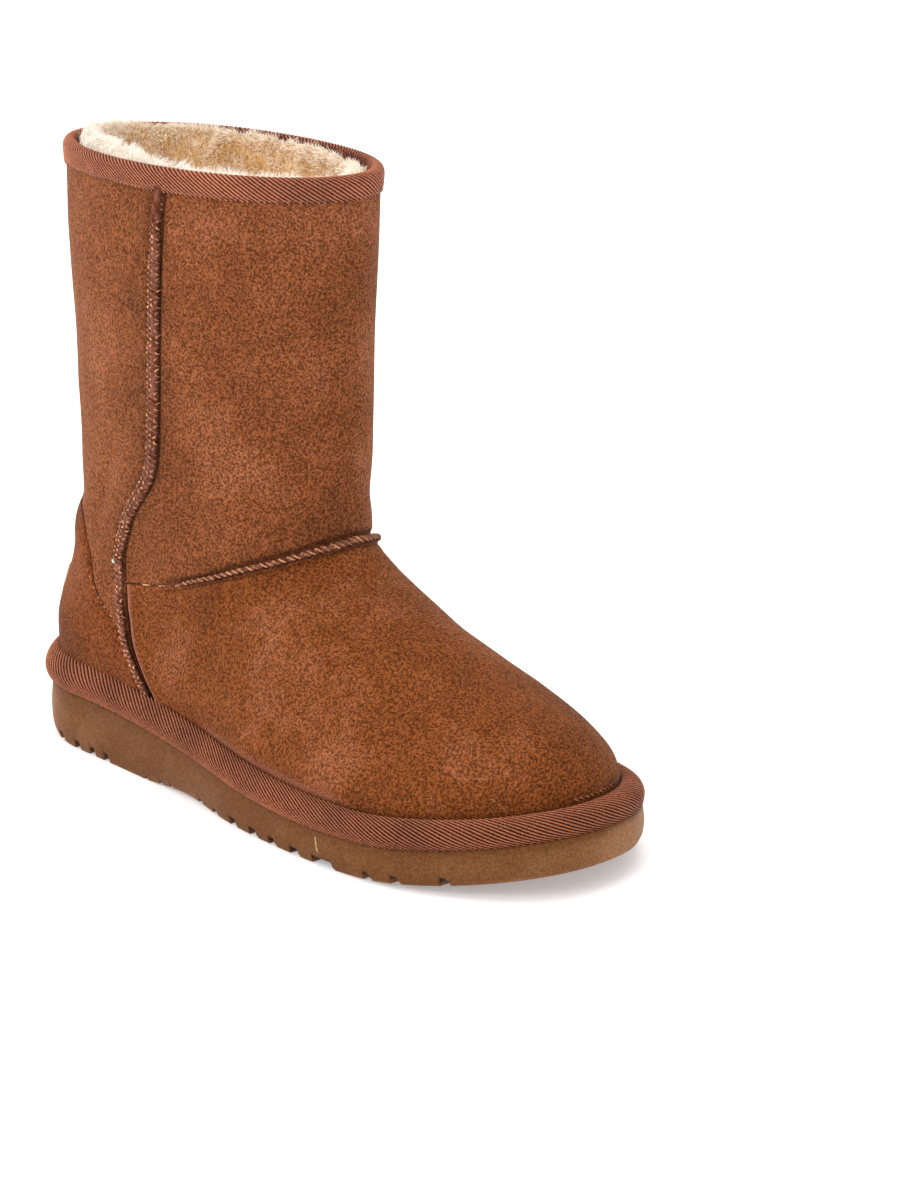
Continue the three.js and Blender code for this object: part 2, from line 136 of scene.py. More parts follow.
def bell(distance: Array, centre: Numbers, width: Numbers) -> Array:
    """Bell curve of height 1 round a centre: e to the minus square of the distance in widths."""
    return np.exp(-(((distance - centre) / width) ** 2))


def crowd(count: int, strength: float) -> Array:
    """Shares from 0 to 1 that lie closer at both ends: an even row less one wave of a sine.

    Args:
        count: How many shares.
        strength: How much closer, from 0, even, to 1.

    Returns:
        The shares in order.
    """
    even = np.linspace(0.0, 1.0, count)
    return even - strength * np.sin(2 * np.pi * even) / (2 * np.pi)


def unit(vectors: Array) -> Array:
    """Scales vectors to length 1."""
    return vectors / np.maximum(np.linalg.norm(vectors, axis=-1, keepdims=True), 1e-12)


def lengths_along(points: Array) -> Array:
    """Adds up the steps between points: the length of the line from its start to each of them."""
    steps = np.linalg.norm(np.diff(points, axis=0), axis=-1)
    return np.concatenate([[0.0], np.cumsum(steps)])


def follow(at: Array, run: Array, line: Array) -> Array:
    """Reads the rows of a line, whose lengths run are known, at other lengths along it."""
    return np.stack([np.interp(at, run, column) for column in line.T], -1)


def lattice_noise(points: Array, size: float, seed: int) -> Array:
    """Soft noise from -1 to 1: random values at the corners of a lattice, blended inside each cell.

    Args:
        points: Places in millimetres, any shape that ends in 3.
        size: Width of a lattice cell in millimetres.
        seed: Picks the random values.

    Returns:
        One value for each place.
    """
    grid = 32
    values = np.random.default_rng(seed).uniform(-1.0, 1.0, (grid, grid, grid))
    scaled = points / size
    cell = np.floor(scaled).astype(int)
    t = smooth(scaled - cell)
    total = np.zeros(points.shape[:-1])
    for corner in range(8):
        step = np.array([corner & 1, corner >> 1 & 1, corner >> 2 & 1])
        x, y, z = np.moveaxis((cell + step) % grid, -1, 0)
        weight = np.prod(np.where(step, t, 1.0 - t), axis=-1)
        total += weight * values[x, y, z]
    return total


# Meshes


class Surface:
    """A mesh in the making: points in millimetres, faces, and named values at its points."""

    def __init__(self) -> None:
        """Starts empty."""
        self.points: list[Array] = []
        self.faces: list[Array] = []
        self.values: dict[str, list[Array]] = {}
        self.count = 0

    def _add(self, points: Array, values: dict[str, Array]) -> Array:
        """Adds points and their values.

        Args:
            points: Array that ends in 3.
            values: Named values that broadcast to the points.

        Returns:
            The points' numbers in the mesh, in the array's shape.
        """
        shape = points.shape[:-1]
        number = self.count + np.arange(math.prod(shape)).reshape(shape)
        self.count += number.size
        self.points.append(points.reshape(-1, 3))
        for name, value in values.items():
            self.values.setdefault(name, []).append(np.broadcast_to(value, shape).ravel())
        return number

    @staticmethod
    def _quads(number: Array) -> Array:
        """Four-cornered faces of a grid of point numbers whose last two axes are rows and columns."""
        corners = (number[..., :-1, :-1], number[..., :-1, 1:], number[..., 1:, 1:], number[..., 1:, :-1])
        return np.stack(corners, -1).reshape(-1, 4)

    def grid(self, points: Array, around: bool = False, closed: bool = False, **values: Array) -> None:
        """Adds a sheet of rows and columns.

        Args:
            points: Rows by columns by 3.
            around: The last column meets the first.
            closed: The last row meets the first.
            values: Named values at the points.
        """
        number = self._add(points, values)
        if around:
            number = np.concatenate([number, number[:, :1]], 1)
        if closed:
            number = np.concatenate([number, number[:1]], 0)
        self.faces.append(self._quads(number))

    def plate(self, outer: Array, under: Array, **values: Array) -> None:
        """Adds a closed plate between an outer sheet and the sheet under it, with strips round its edge.

        Args:
            outer: Rows by columns by 3.
            under: The same shape.
            values: Named values at the outer points, used under them too.
        """
        top = self._add(outer, values)
        low = self._add(under, values)
        self.faces += [self._quads(top), self._quads(low)[:, ::-1]]
        edges = ((top[0], low[0]), (low[-1], top[-1]), (low[:, 0], top[:, 0]), (top[:, -1], low[:, -1]))
        for first, second in edges:
            self.faces.append(self._quads(np.stack([second, first])))

    def tubes(self, points: Array, **values: Array) -> None:
        """Adds many closed tubes at once.

        Args:
            points: Tubes by rings by sides by 3.
            values: Named values at the points.
        """
        number = self._add(points, values)
        self.faces.append(self._quads(np.concatenate([number, number[..., :1]], -1)))
        self.faces += [number[:, 0, ::-1], number[:, -1]]

    def _volume(self, points: Array) -> float:
        """Six times the volume inside: the triple products of each face's fan of triangles.

        Args:
            points: The mesh's points.

        Returns:
            The volume times six, negative if the faces point inwards.
        """
        total = 0.0
        for faces in self.faces:
            first = points[faces[:, 0]]
            for i in range(1, faces.shape[1] - 1):
                total += np.einsum("ij,ij->", first, np.cross(points[faces[:, i]], points[faces[:, i + 1]]))
        return total

    def build(self, name: str, material: Material, weld: bool = False) -> bpy.types.Object:
        """Makes the Blender object, with its faces outwards, and lets it ride on the boot.

        Args:
            name: Name of the piece.
            material: Its material.
            weld: Merge points that coincide, as where separate sheets meet.

        Returns:
            The object, at the origin.
        """
        points = np.concatenate(self.points)
        turned = self._volume(points) < 0
        faces = [face for group in self.faces for face in (group[:, ::-1] if turned else group).tolist()]
        placed = (points - np.array([LAST.heel_point, 0.0, 0.0])) * MM
        mesh = bpy.data.meshes.new(name)
        mesh.from_pydata(placed, [], faces)
        for key, parts in self.values.items():
            attribute = mesh.attributes.new(key, "FLOAT", "POINT")
            attribute.data.foreach_set("value", np.concatenate(parts).astype(np.float32))
        if weld:
            made = bmesh.new()
            made.from_mesh(mesh)
            bmesh.ops.remove_doubles(made, verts=made.verts, dist=0.01 * MM)
            bmesh.ops.dissolve_degenerate(made, edges=made.edges, dist=0.01 * MM)
            bmesh.ops.recalc_face_normals(made, faces=made.faces)
            made.to_mesh(mesh)
            made.free()
        mesh.polygons.foreach_set("use_smooth", np.ones(len(mesh.polygons), bool))
        mesh.materials.append(material)
        mesh.update()
        piece = bpy.data.objects.new(name, mesh)
        bpy.context.scene.collection.objects.link(piece)
        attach(piece, "root")
        log.info("%s: %d points, %d faces", name, len(mesh.vertices), len(mesh.polygons))
        return piece


def grid_normals(points: Array, closed: bool = False) -> Array:
    """Directions square to a sheet whose columns run round: the cross product of its two differences.

    Args:
        points: Rows by columns by 3; the last column meets the first.
        closed: The last row meets the first.

    Returns:
        Unit vectors in the same shape.
    """
    around = np.roll(points, -1, 1) - np.roll(points, 1, 1)
    up = np.roll(points, -1, 0) - np.roll(points, 1, 0) if closed else np.gradient(points, axis=0)
    return unit(np.cross(around, up))


def tube_rings(centres: Array, ups: Array, width: Numbers, height: Numbers, sides: int) -> Array:
    """Oval rings carried along many lines: each ring is an ellipse square to its line.

    Args:
        centres: Lines by points by 3.
        ups: Upward direction at each point.
        width: Half width of the ring across its line.
        height: Half height of the ring along the upward direction.
        sides: Points in a ring.

    Returns:
        Lines by points by sides by 3.
    """
    along = unit(np.gradient(centres, axis=1))
    side = unit(np.cross(along, ups))
    up = np.cross(side, along)
    angle = 2 * np.pi * np.arange(sides) / sides
    width, height = (np.broadcast_to(size, centres.shape[:-1])[..., None, None] for size in (width, height))
    across = side[:, :, None] * np.cos(angle)[:, None] * width
    return centres[:, :, None] + across + up[:, :, None] * np.sin(angle)[:, None] * height


# The boot's form


# Half widths of the sole's plan as shares of the ball width, by the share of its length from the heel
SOLE_PLAN = Table(
    "along outer inner",
    (0, 0.373, 0.373), (0.12, 0.373, 0.373), (0.28, 0.397, 0.347), (0.42, 0.43, 0.335),
    (0.55, 0.484, 0.385), (0.68, 0.504, 0.466), (0.8, 0.489, 0.491), (0.9, 0.444, 0.486),
    (1, 0.4, 0.46),
)

# Side of the outsole from tread to top: height as a share of the thickness, and how far it stands
# out of the plan as shares of the side bulge and of the edge radius
SOLE_SIDE = Table(
    "height bulge edge",
    (0, 0, -1), (0.07, 0, -0.25), (0.2, 0.6, 0), (0.5, 1, 0), (0.85, 0.5, 0),
    (1, 0, 0),
)

# Tread grooves: centre as a share of the sole's length, width in groove widths
TREAD_GROOVES = (
    (0.1, 0.9), (0.145, 0.9), (0.18, 0.9), (0.213, 0.9), (0.519, 1.2), (0.565, 1.3),
    (0.606, 1.0), (0.652, 1.4), (0.705, 3.2), (0.782, 0.8), (0.823, 0.8), (0.883, 0.8),
)

# Shallow dents between them under the arch: centre, width and depth
TREAD_DENTS = (
    (0.306, 0.4, 0.8), (0.339, 0.5, 0.9), (0.365, 0.4, 0.7), (0.435, 0.6, 1.0), (0.472, 0.9, 1.3),
)

# Sections of the foot: back and front are shares of the sole's length, rises of the instep height,
# half widths of the ball width; plan is how far a section follows the curves of the sole
FOOT_SECTIONS = (
    (0.017, 0, 0.967, 0, 0.458, 0.45, 0.15, 0.24, 1),
    (0.012, 13 / 72, 0.97, 9 / 72, 0.47, 0.46, 0.16, 0.25, 1),
    (0.01, 0.27, 0.968, 0.23, 0.472, 0.456, 0.17, 0.27, 0.95),
    (0.009, 0.35, 0.952, 0.335, 0.457, 0.434, 0.18, 0.29, 0.85),
    (0.011, 0.43, 0.922, 0.45, 0.43, 0.404, 0.2, 0.32, 0.7),
    (0.018, 0.51, 0.876, 0.55, 0.4, 0.373, 0.22, 0.35, 0.5),
    (0.027, 0.59, 0.804, 0.645, 0.375, 0.35, 0.24, 0.4, 0.3),
    (0.036, 0.67, 0.719, 0.75, 0.356, 0.334, 0.27, 0.44, 0.15),
    (0.042, 0.77, 0.628, 0.85, 0.344, 0.328, 0.31, 0.48, 0.05),
    (0.045, 0.88, 0.56, 0.96, 0.344, 0.328, 0.35, 0.5, 0),
)

# How far the collar's tape reaches down the shaft, which is where the upper's last level starts
TAPE_DEPTH = 7.5

# Sections of the shaft: rise is a share of the way from instep to collar, back and front are shares
# of the shaft's length, half widths of its width; 142 is that way in millimetres
SHAFT_SECTIONS = (
    (0.1, 0.021, 0.966, 0.48, 0.468),
    (0.28, 0.012, 0.966, 0.478, 0.468),
    (0.5, 0.002, 0.974, 0.489, 0.476),
    (0.75, -0.003, 0.988, 0.505, 0.485),
    (1 - TAPE_DEPTH / 142, -0.001, 0.996, 0.51, 0.49),
    (1, 0, 0.996, 0.51, 0.49),
)

# Lines of the seams over the upper, and the top edge of the panel over the heel
SIDE_SEAM = Table(
    "level turn",
    (1, 113), (2.5, 116), (4, 118), (6, 117), (8.3, 109), (9.6, 99), (10.4, 88), (11.5, 84),
    (12.7, 82), (14, 79),
)

VAMP_SEAM = Table(
    "turn level",
    (0, 9.56), (19, 9.45), (38, 9.2), (57, 8.86), (75, 8.3), (89, 7.76), (107, 7.24), (114, 7.1),
)

COUNTER_TOP = Table(
    "turn level",
    (118, 4.2), (120, 4.6), (124, 5.4), (128, 6.6), (132, 8.4), (139, 9.2), (152, 9.45),
    (165, 9.55), (180, 9.56),
)


@dataclass(frozen=True)
class Last:
    """The form that the boot is made on, and the sizes that its pieces share."""

    outsole_length: float = 288.0
    ball_width: float = 113.0
    heel_thickness: float = 23.0
    ball_thickness: float = 13.5
    toe_spring: float = 10.0
    spring_from: float = 0.7
    arch_rise: float = 2.0
    arch: tuple[float, float] = (0.29, 0.5)
    thinning: tuple[float, float] = (0.18, 0.68)
    heel_round: tuple[float, float] = (0.15, 2.1)
    toe_round: tuple[float, float] = (0.24, 2.15)
    instep_height: float = 72.0
    collar_height: float = 214.0
    shaft_length: float = 152.0
    shaft_width: float = 83.0
    shaft_setback: float = 9.5
    shaft_round: tuple[float, float] = (0.48, 0.52)
    section_power: float = 2.1
    levelling: tuple[float, float] = (4.0, 10.0)
    wall: float = 3.0
    clearance: float = 0.3
    binding_level: float = 1.0
    tape_level: float = 14.0
    collar_level: float = 15.0

    @property
    def heel_point(self) -> float:
        """Place of the frame's origin along the boot, on the lug between two heel grooves."""
        return self.outsole_length * (TREAD_GROOVES[1][0] + TREAD_GROOVES[2][0]) / 2

    def sections(self) -> Table:
        """The sections of foot and shaft in millimetres, one row for each level.

        Returns:
            The table, with the levels as its key.
        """
        rows = []
        for back, back_rise, front, front_rise, outer, inner, *rounds_and_plan in FOOT_SECTIONS:
            rows.append((back * self.outsole_length, front * self.outsole_length,
                         back_rise * self.instep_height, front_rise * self.instep_height,
                         outer * self.ball_width, inner * self.ball_width, *rounds_and_plan))
        for rise, back, front, outer, inner in SHAFT_SECTIONS:
            height = mix(self.instep_height, self.collar_height, rise)
            rows.append((self.shaft_setback + back * self.shaft_length,
                         self.shaft_setback + front * self.shaft_length, height, height,
                         outer * self.shaft_width, inner * self.shaft_width, *self.shaft_round, 0.0))
        start, end = self.levelling
        flats = smooth((np.arange(len(rows)) - start) / (end - start))
        names = "level back front back_rise front_rise outer inner back_round front_round plan flat"
        return Table(names, *((level, *row, flat) for level, (row, flat) in enumerate(zip(rows, flats))))

    def spring(self, x: Array) -> Array:
        """Height that the toe spring adds: the square of the way from its start to the toe."""
        share = (x / self.outsole_length - self.spring_from) / (1 - self.spring_from)
        return self.toe_spring * np.clip(share, 0.0, 1.0) ** 2

    def tread_height(self, x: Array) -> Array:
        """Height of the tread: the toe spring, and under the arch a sine squared."""
        start, end = self.arch
        share = np.clip((x / self.outsole_length - start) / (end - start), 0.0, 1.0)
        return self.spring(x) + self.arch_rise * np.sin(np.pi * share) ** 2

    def sole_top(self, x: Array) -> Array:
        """Height of the sole's top: it thins smoothly from heel to ball, and rises with the toe."""
        start, end = self.thinning
        thin = smooth((x / self.outsole_length - start) / (end - start))
        return mix(self.heel_thickness, self.ball_thickness, thin) + self.spring(x)

    def plan_point(self, turn: Array, grow: Numbers) -> Array:
        """Points of the sole's plan at height 0: half widths from the plan, with two round ends.

        Args:
            turn: Turns in degrees.
            grow: How far the plan is moved out.

        Returns:
            Array that ends in 3.
        """
        along = (1 + np.cos(np.radians(turn))) / 2
        outer = np.sin(np.radians(turn)) >= 0
        width = np.where(outer, SOLE_PLAN.read("outer", along), SOLE_PLAN.read("inner", along))
        ends = (round_end(along / self.heel_round[0], self.heel_round[1])
                * round_end((1 - along) / self.toe_round[0], self.toe_round[1]))
        x = -grow + along * (self.outsole_length + 2 * grow)
        y = (width * self.ball_width + grow) * ends * np.where(outer, -1.0, 1.0)
        return np.stack(np.broadcast_arrays(x, y, 0.0), -1)

    def section_height(self, level: Array, x: Array) -> Array:
        """Height of the upper's section at a place along the boot, on a sloping line over the sole.

        Args:
            level: Levels.
            x: Places along the boot.

        Returns:
            Heights in millimetres.
        """
        back, front = SECTIONS.read("back", level), SECTIONS.read("front", level)
        base = mix(self.sole_top(x), self.heel_thickness, SECTIONS.read("flat", level)) + self.clearance
        rise = mix(SECTIONS.read("back_rise", level), SECTIONS.read("front_rise", level),
                   (x - back) / (front - back))
        return base + rise

    def skin(self, level: Numbers, turn: Numbers) -> Array:
        """Points of the upper's plain outer face: an outline with two round ends at each level.

        Args:
            level: Levels.
            turn: Turns in degrees.

        Returns:
            Array that ends in 3.
        """
        level, turn = np.broadcast_arrays(np.asarray(level, float), np.asarray(turn, float))
        along = (1 + np.cos(np.radians(turn))) / 2
        outer = np.sin(np.radians(turn)) >= 0
        plan = 2 * np.where(outer, SOLE_PLAN.read("outer", along), SOLE_PLAN.read("inner", along))
        width = np.where(outer, SECTIONS.read("outer", level), SECTIONS.read("inner", level))
        half = width * mix(1.0, plan, SECTIONS.read("plan", level))
        ends = (round_end(along / SECTIONS.read("back_round", level), self.section_power)
                * round_end((1 - along) / SECTIONS.read("front_round", level), self.section_power))
        x = mix(SECTIONS.read("back", level), SECTIONS.read("front", level), along)
        y = half * ends * np.where(outer, -1.0, 1.0)
        return np.stack([x, y, self.section_height(level, x)], -1)

    def normal(self, level: Numbers, turn: Numbers) -> Array:
        """Outward directions of the plain face, from the differences to near neighbours.

        Args:
            level: Levels.
            turn: Turns in degrees.

        Returns:
            Unit vectors, an array that ends in 3.
        """
        turn_step, level_step = 2.0, 0.15
        around = self.skin(level, turn + turn_step) - self.skin(level, turn - turn_step)
        above = self.skin(np.minimum(level + level_step, self.collar_level), turn)
        below = self.skin(np.maximum(level - level_step, 0.0), turn)
        return unit(np.cross(above - below, around))

    def off(self, level: Numbers, turn: Numbers, distance: Numbers) -> Array:
        """Points of the plain face moved out along its normals, or in by a negative distance."""
        return self.skin(level, turn) + self.normal(level, turn) * np.asarray(distance)[..., None]


LAST = Last()
SECTIONS = LAST.sections()


@dataclass(frozen=True)
class Crease:
    """A soft trough in the suede along a line of places; a negative depth makes a ridge."""

    path: tuple[tuple[float, float], ...]
    width: float
    depth: float

    def relief(self, points: Array) -> Array:
        """Height at points of the skin: a bell across the line that fades towards its two ends.

        Args:
            points: Array that ends in 3.

        Returns:
            Heights in millimetres, negative in a trough.
        """
        level, turn = np.array(self.path, float).T
        even = np.linspace(0, len(level) - 1, 12)
        line = LAST.skin(np.interp(even, np.arange(len(level)), level),
                         np.interp(even, np.arange(len(turn)), turn))
        nearest = np.full(points.shape[:-1], np.inf)
        place = np.zeros(points.shape[:-1])
        for i, (start, step) in enumerate(zip(line, np.diff(line, axis=0))):
            share = np.clip((points - start) @ step / (step @ step), 0.0, 1.0)
            distance = np.linalg.norm(points - start - share[..., None] * step, axis=-1)
            place = np.where(distance < nearest, (i + share) / (len(line) - 1), place)
            nearest = np.minimum(nearest, distance)
        return -self.depth * bell(nearest, 0.0, self.width) * np.sin(np.pi * np.clip(place, 0.06, 0.94))


# Troughs and ridges that the suede shows, each along places given as (level, turn)
CREASES = (
    Crease(((9.3, 128), (9.65, 150), (9.75, 180), (9.7, 212)), 7, 1.5),
    Crease(((10.6, 135), (10.9, 160), (10.9, 200)), 14, 0.8),
    Crease(((9, 121), (10, 113), (11, 100)), 5.5, 1.6),
    Crease(((9.9, 60), (10.4, 76), (10.7, 100)), 8, 0.8),
    Crease(((13.6, 30), (12.4, 44), (11.2, 40)), 17, 1.4),
    Crease(((13.4, 62), (12, 70), (10.9, 62)), 13, -1),
    Crease(((13.2, 130), (12, 140), (11.2, 138)), 15, 1.1),
    Crease(((9.8, 14), (10.2, 34), (10.3, 52)), 7, 1),
    Crease(((10, -14), (10.3, -40), (10.6, -66), (10.4, -90)), 8, 1.6),
    Crease(((9.9, -122), (10.3, -100), (10.9, -82)), 7, 1.3),
    Crease(((13.5, -60), (12.2, -48), (11, -56)), 16, 1.2),
    Crease(((8.2, 22), (7.2, 34), (6, 42)), 14, 0.8),
    Crease(((8.4, -20), (7, -38), (5.6, -50)), 13, 1.1),
    Crease(((5.4, 76), (4.2, 88), (3, 96)), 12, 0.7),
)

# Patches of lighter and darker suede, partly where the nap lies differently and partly painted light and
# shade: level, turn, radius in millimetres, tone
NAP_AND_PAINTED_LIGHT = (
    (12, 116, 17, 0.55), (12.5, 93, 8, -0.7), (11.4, 96, 9, -0.6),
    (13.5, 60.5, 13, 0.35), (12.4, 46, 11, 0.35), (11.45, 66.5, 12, 0.5),
    (11.95, 27.5, 15, 0.4), (10.65, 54.5, 13, 0.6), (13.45, 19.5, 12, 0.3),
    (12.75, 53.5, 10, -0.35), (12.5, 16, 12, -0.4), (10.15, 75.5, 12, -0.6),
    (11.25, 49, 10, -0.3), (10.4, 4, 12, -0.5), (9.95, 17, 10, -0.8),
    (9.9, 42, 9, -0.5), (4.6, 100, 9, 0.4), (7.7, 54, 13, 0.6), (4.25, 79.5, 11, 0.6),
    (3.25, 63.5, 12, 0.6), (6.65, 87, 11, -0.7), (1.5, 88, 9, -0.4), (6.9, 21.5, 15, -0.3),
    (3.85, 33, 10, 0.6), (3.2, 21.5, 9, 0.6), (1.45, 58, 9, -0.5), (5.55, 7, 14, -0.35),
    # Painted shade: (3.6, -34) darkens the inner side of the vamp near the toe.
    (2.4, -7, 10, -0.3), (3.6, -34, 24, -0.9), (8.5, 20, 11, 0.3), (1.5, 30, 9, -0.5),
    # Painted light: the three patches on the next line lighten the front of the shaft, just to its inner
    # side.
    (13.6, -8, 12, 0.9), (12, -12, 12, 1), (10.8, -14, 10, 1),
    (2.2, 140, 12, -0.9), (3.3, 0, 13, -0.6), (3, 150, 14, -0.5), (7.5, 140, 11, 0.4),
    (12, 180, 20, -0.4), (6, -70, 16, 0.4), (11.5, -60, 16, 0.4),
    (12.8, -110, 14, -0.4), (4, -110, 12, -0.4),
)

# Relief beside the side seam in front of it: depth and half width of the groove, height of the panel's
# lip, and where the groove starts in front of the seam's line
SEAM_RELIEF = Table(
    "level groove width lip front",
    (0, 2.8, 2.6, 1.2, 0.2), (1, 2.8, 2.5, 1.3, 0.3), (2.5, 2.6, 2.3, 1.3, 0.5), (4, 2.4, 2, 1.2, 0.9),
    (6, 1.9, 1.4, 0.9, 1.6), (7.1, 1.2, 0.8, 0.7, 2.3), (9, 0.6, 0.9, 0.4, 2.5), (12, 0.6, 0.9, 0.4, 2.5),
    (14, 0.9, 0.9, 0.4, 1.7),
)


@dataclass(frozen=True)
class DressedSkin:
    """The upper's outer face with its creases, seam grooves and panel lips."""

    seam_half: float = 2.5
    ripple: float = 0.35
    raised_from: float = 18.0
    raised_over: float = 18.0
    tuck_fade: float = 11.0
    # Level and turns of a pinkish painted highlight along the suede's lower edge above the sole's tape
    hem_highlight_level: float = 1.2
    hem_highlight_turns: tuple[float, float] = (58.0, 98.0)

    def soft(self, level: Array, turn: Array) -> Array:
        """Height of creases and slow waves, which the pieces on the upper follow too.

        Args:
            level: Levels.
            turn: Turns in degrees.

        Returns:
            Heights in millimetres.
        """
        points = LAST.skin(level, turn)
        waves = (self.ripple * lattice_noise(points, 38.0, 5)
                 + 0.4 * self.ripple * lattice_noise(points, 15.0, 8))
        return waves + sum(crease.relief(points) for crease in CREASES)

    def tone(self, points: Array) -> Array:
        """Lighter and darker suede at points of the skin, from the nap and from painted light and shade: a
        bell for each patch, its rim moved by noise.

        Args:
            points: Array that ends in 3.

        Returns:
            Tones from -1 to 1.
        """
        ragged = (points + 5.0 * lattice_noise(points, 9.0, 71)[..., None]
                  + 2.0 * lattice_noise(points, 4.0, 72)[..., None])
        total = 0.25 * lattice_noise(points, 13.0, 73)
        for level, turn, radius, tone in NAP_AND_PAINTED_LIGHT:
            away = np.linalg.norm(ragged - LAST.skin(level, turn), axis=-1)
            total = total + tone * bell(away, 0.0, radius)
        return np.clip(total, -1.0, 1.0)

    def side_distance(self, level: Array, turn: Array) -> Array:
        """Millimetres behind the side seam, negative in front of it, along the level's outline.

        Args:
            level: Levels.
            turn: Turns in degrees.

        Returns:
            Distances from the seam on the same side.
        """
        seam = SIDE_SEAM.read("turn", level)
        size = np.linalg.norm(LAST.skin(level, seam + 1) - LAST.skin(level, seam - 1), axis=-1) / 2
        around = np.abs(wrap(turn))
        return (around - seam) * size

    def vamp_distance(self, level: Array, turn: Array) -> Array:
        """Millimetres above the vamp seam, negative below it."""
        seam = VAMP_SEAM.read("level", np.abs(wrap(turn)))
        size = np.linalg.norm(LAST.skin(seam + 0.2, turn) - LAST.skin(seam - 0.2, turn), axis=-1) / 0.4
        return (level - seam) * size

    def relief(self, level: Array, turn: Array) -> dict[str, Array]:
        """Height of the dressed face over the plain one, with masks for the material.

        Args:
            level: Levels.
            turn: Turns in degrees.

        Returns:
            The height, the share of vamp, the lip share of smooth panel lip and painted highlight, the
            groove share of painted shade, and the tone: the nap's tone, painted light and shade patches,
            and painted shade beside the side seam and near the sole.
        """
        behind, above = self.side_distance(level, turn), self.vamp_distance(level, turn)
        groove, width, lip, foot = (SEAM_RELIEF.read(name, level)
                                    for name in ("groove", "width", "lip", "front"))
        front = np.exp(-np.abs((behind + foot + 0.8 * width) / width) ** 3)
        rear = bell(behind, self.seam_half + 0.4, 0.6)
        height = (lip * bell(behind, -foot - 2.2 * width - 1.6, 2.6 + width) - groove * front
                  - 0.45 * rear + 0.35 * bell(behind, self.seam_half + 4.0, 3.0))
        raised = smooth((-behind - self.raised_from) / self.raised_over)
        tuck = (0.8 * bell(above, 2.4, 0.9)
                + 1.6 * np.exp(-np.maximum(above, 0.0) / self.tuck_fade) * (above > 0))
        swell = 0.8 * bell(above, -9.0, 6.0) - 0.5 * bell(above, -2.4, 0.7)
        flat_slit = (1 - raised) * 0.55 * bell(above, 0.0, 0.55) * (behind < -self.seam_half)
        height = height + raised * (swell - tuck) - flat_slit
        vamp = smooth(0.5 - above / 1.2) * smooth(0.5 - (behind + self.seam_half) / 1.5)
        # Painted highlight on the panel's lip in front of the side seam, put into the lip share.
        edge = bell(behind, -foot - 1.9 * width - 1.0, 1.2) * smooth((7.4 - level) / 0.6)
        # Painted shade in front of and behind the side seam on the shaft, and near the sole, added to the
        # tone.
        shade_ahead = np.exp(-np.maximum(-behind - foot, 0.0) / 3.6) * (behind < 0)
        shade_behind = np.exp(-np.maximum(behind - self.seam_half, 0.0) / 7.0) * (behind > 0)
        shade = (-1.9 * shade_ahead * smooth((level - 6.4) / 1.2)
                 - 1.5 * shade_behind * smooth((level - 8.0) / 2.0) - 0.45 * bell(level, 0.5, 1.5))
        # Painted shade just above and below the vamp seam where the shaft tucks in, and in the groove in
        # front of the side seam; both go into the groove share.
        tuck_shade = raised * (0.5 * bell(above, 2.2, 0.9) + 0.22 * np.exp(-np.maximum(above, 0.0) / 5.0)
                           * (above > 0) + 0.4 * bell(above, -2.3, 0.5))
        dark = np.maximum(np.minimum(2.2 * smooth(groove / 1.6), 0.1 + 0.55 * groove) * front, tuck_shade)
        # Painted highlight on the side panel's bulge over the counter's edge, and a pinkish painted
        # highlight along the suede's lower edge above the sole's tape; both go into the lip share.
        quarter_highlight = 0.35 * bell(behind, self.seam_half + 1.6, 1.1) * smooth((8.0 - level) / 2.0)
        hem_start, hem_end = self.hem_highlight_turns
        hem_highlight = 0.45 * bell(level, self.hem_highlight_level, 0.2) * smooth((turn - hem_start) / 6.0)
        hem_highlight = hem_highlight * smooth((hem_end - turn) / 4.0)
        # The groove share also darkens the trough behind the side seam and the vamp seam's flat start as
        # painted shade.
        return {"height": self.soft(level, turn) + height, "vamp": vamp,
                "lip": np.clip(edge + hem_highlight + quarter_highlight, 0.0, 1.0),
                "groove": np.clip(np.maximum(dark, 0.45 * rear + 1.6 * flat_slit), 0.0, 1.0),
                "tone": self.tone(LAST.skin(level, turn)) + shade}

    def at(self, level: Array, turn: Array, distance: Numbers) -> Array:
        """Points at a distance over the softly creased face, without seam grooves."""
        return LAST.off(level, turn, self.soft(level, turn) + distance)


SKIN = DressedSkin()


# Shader trees


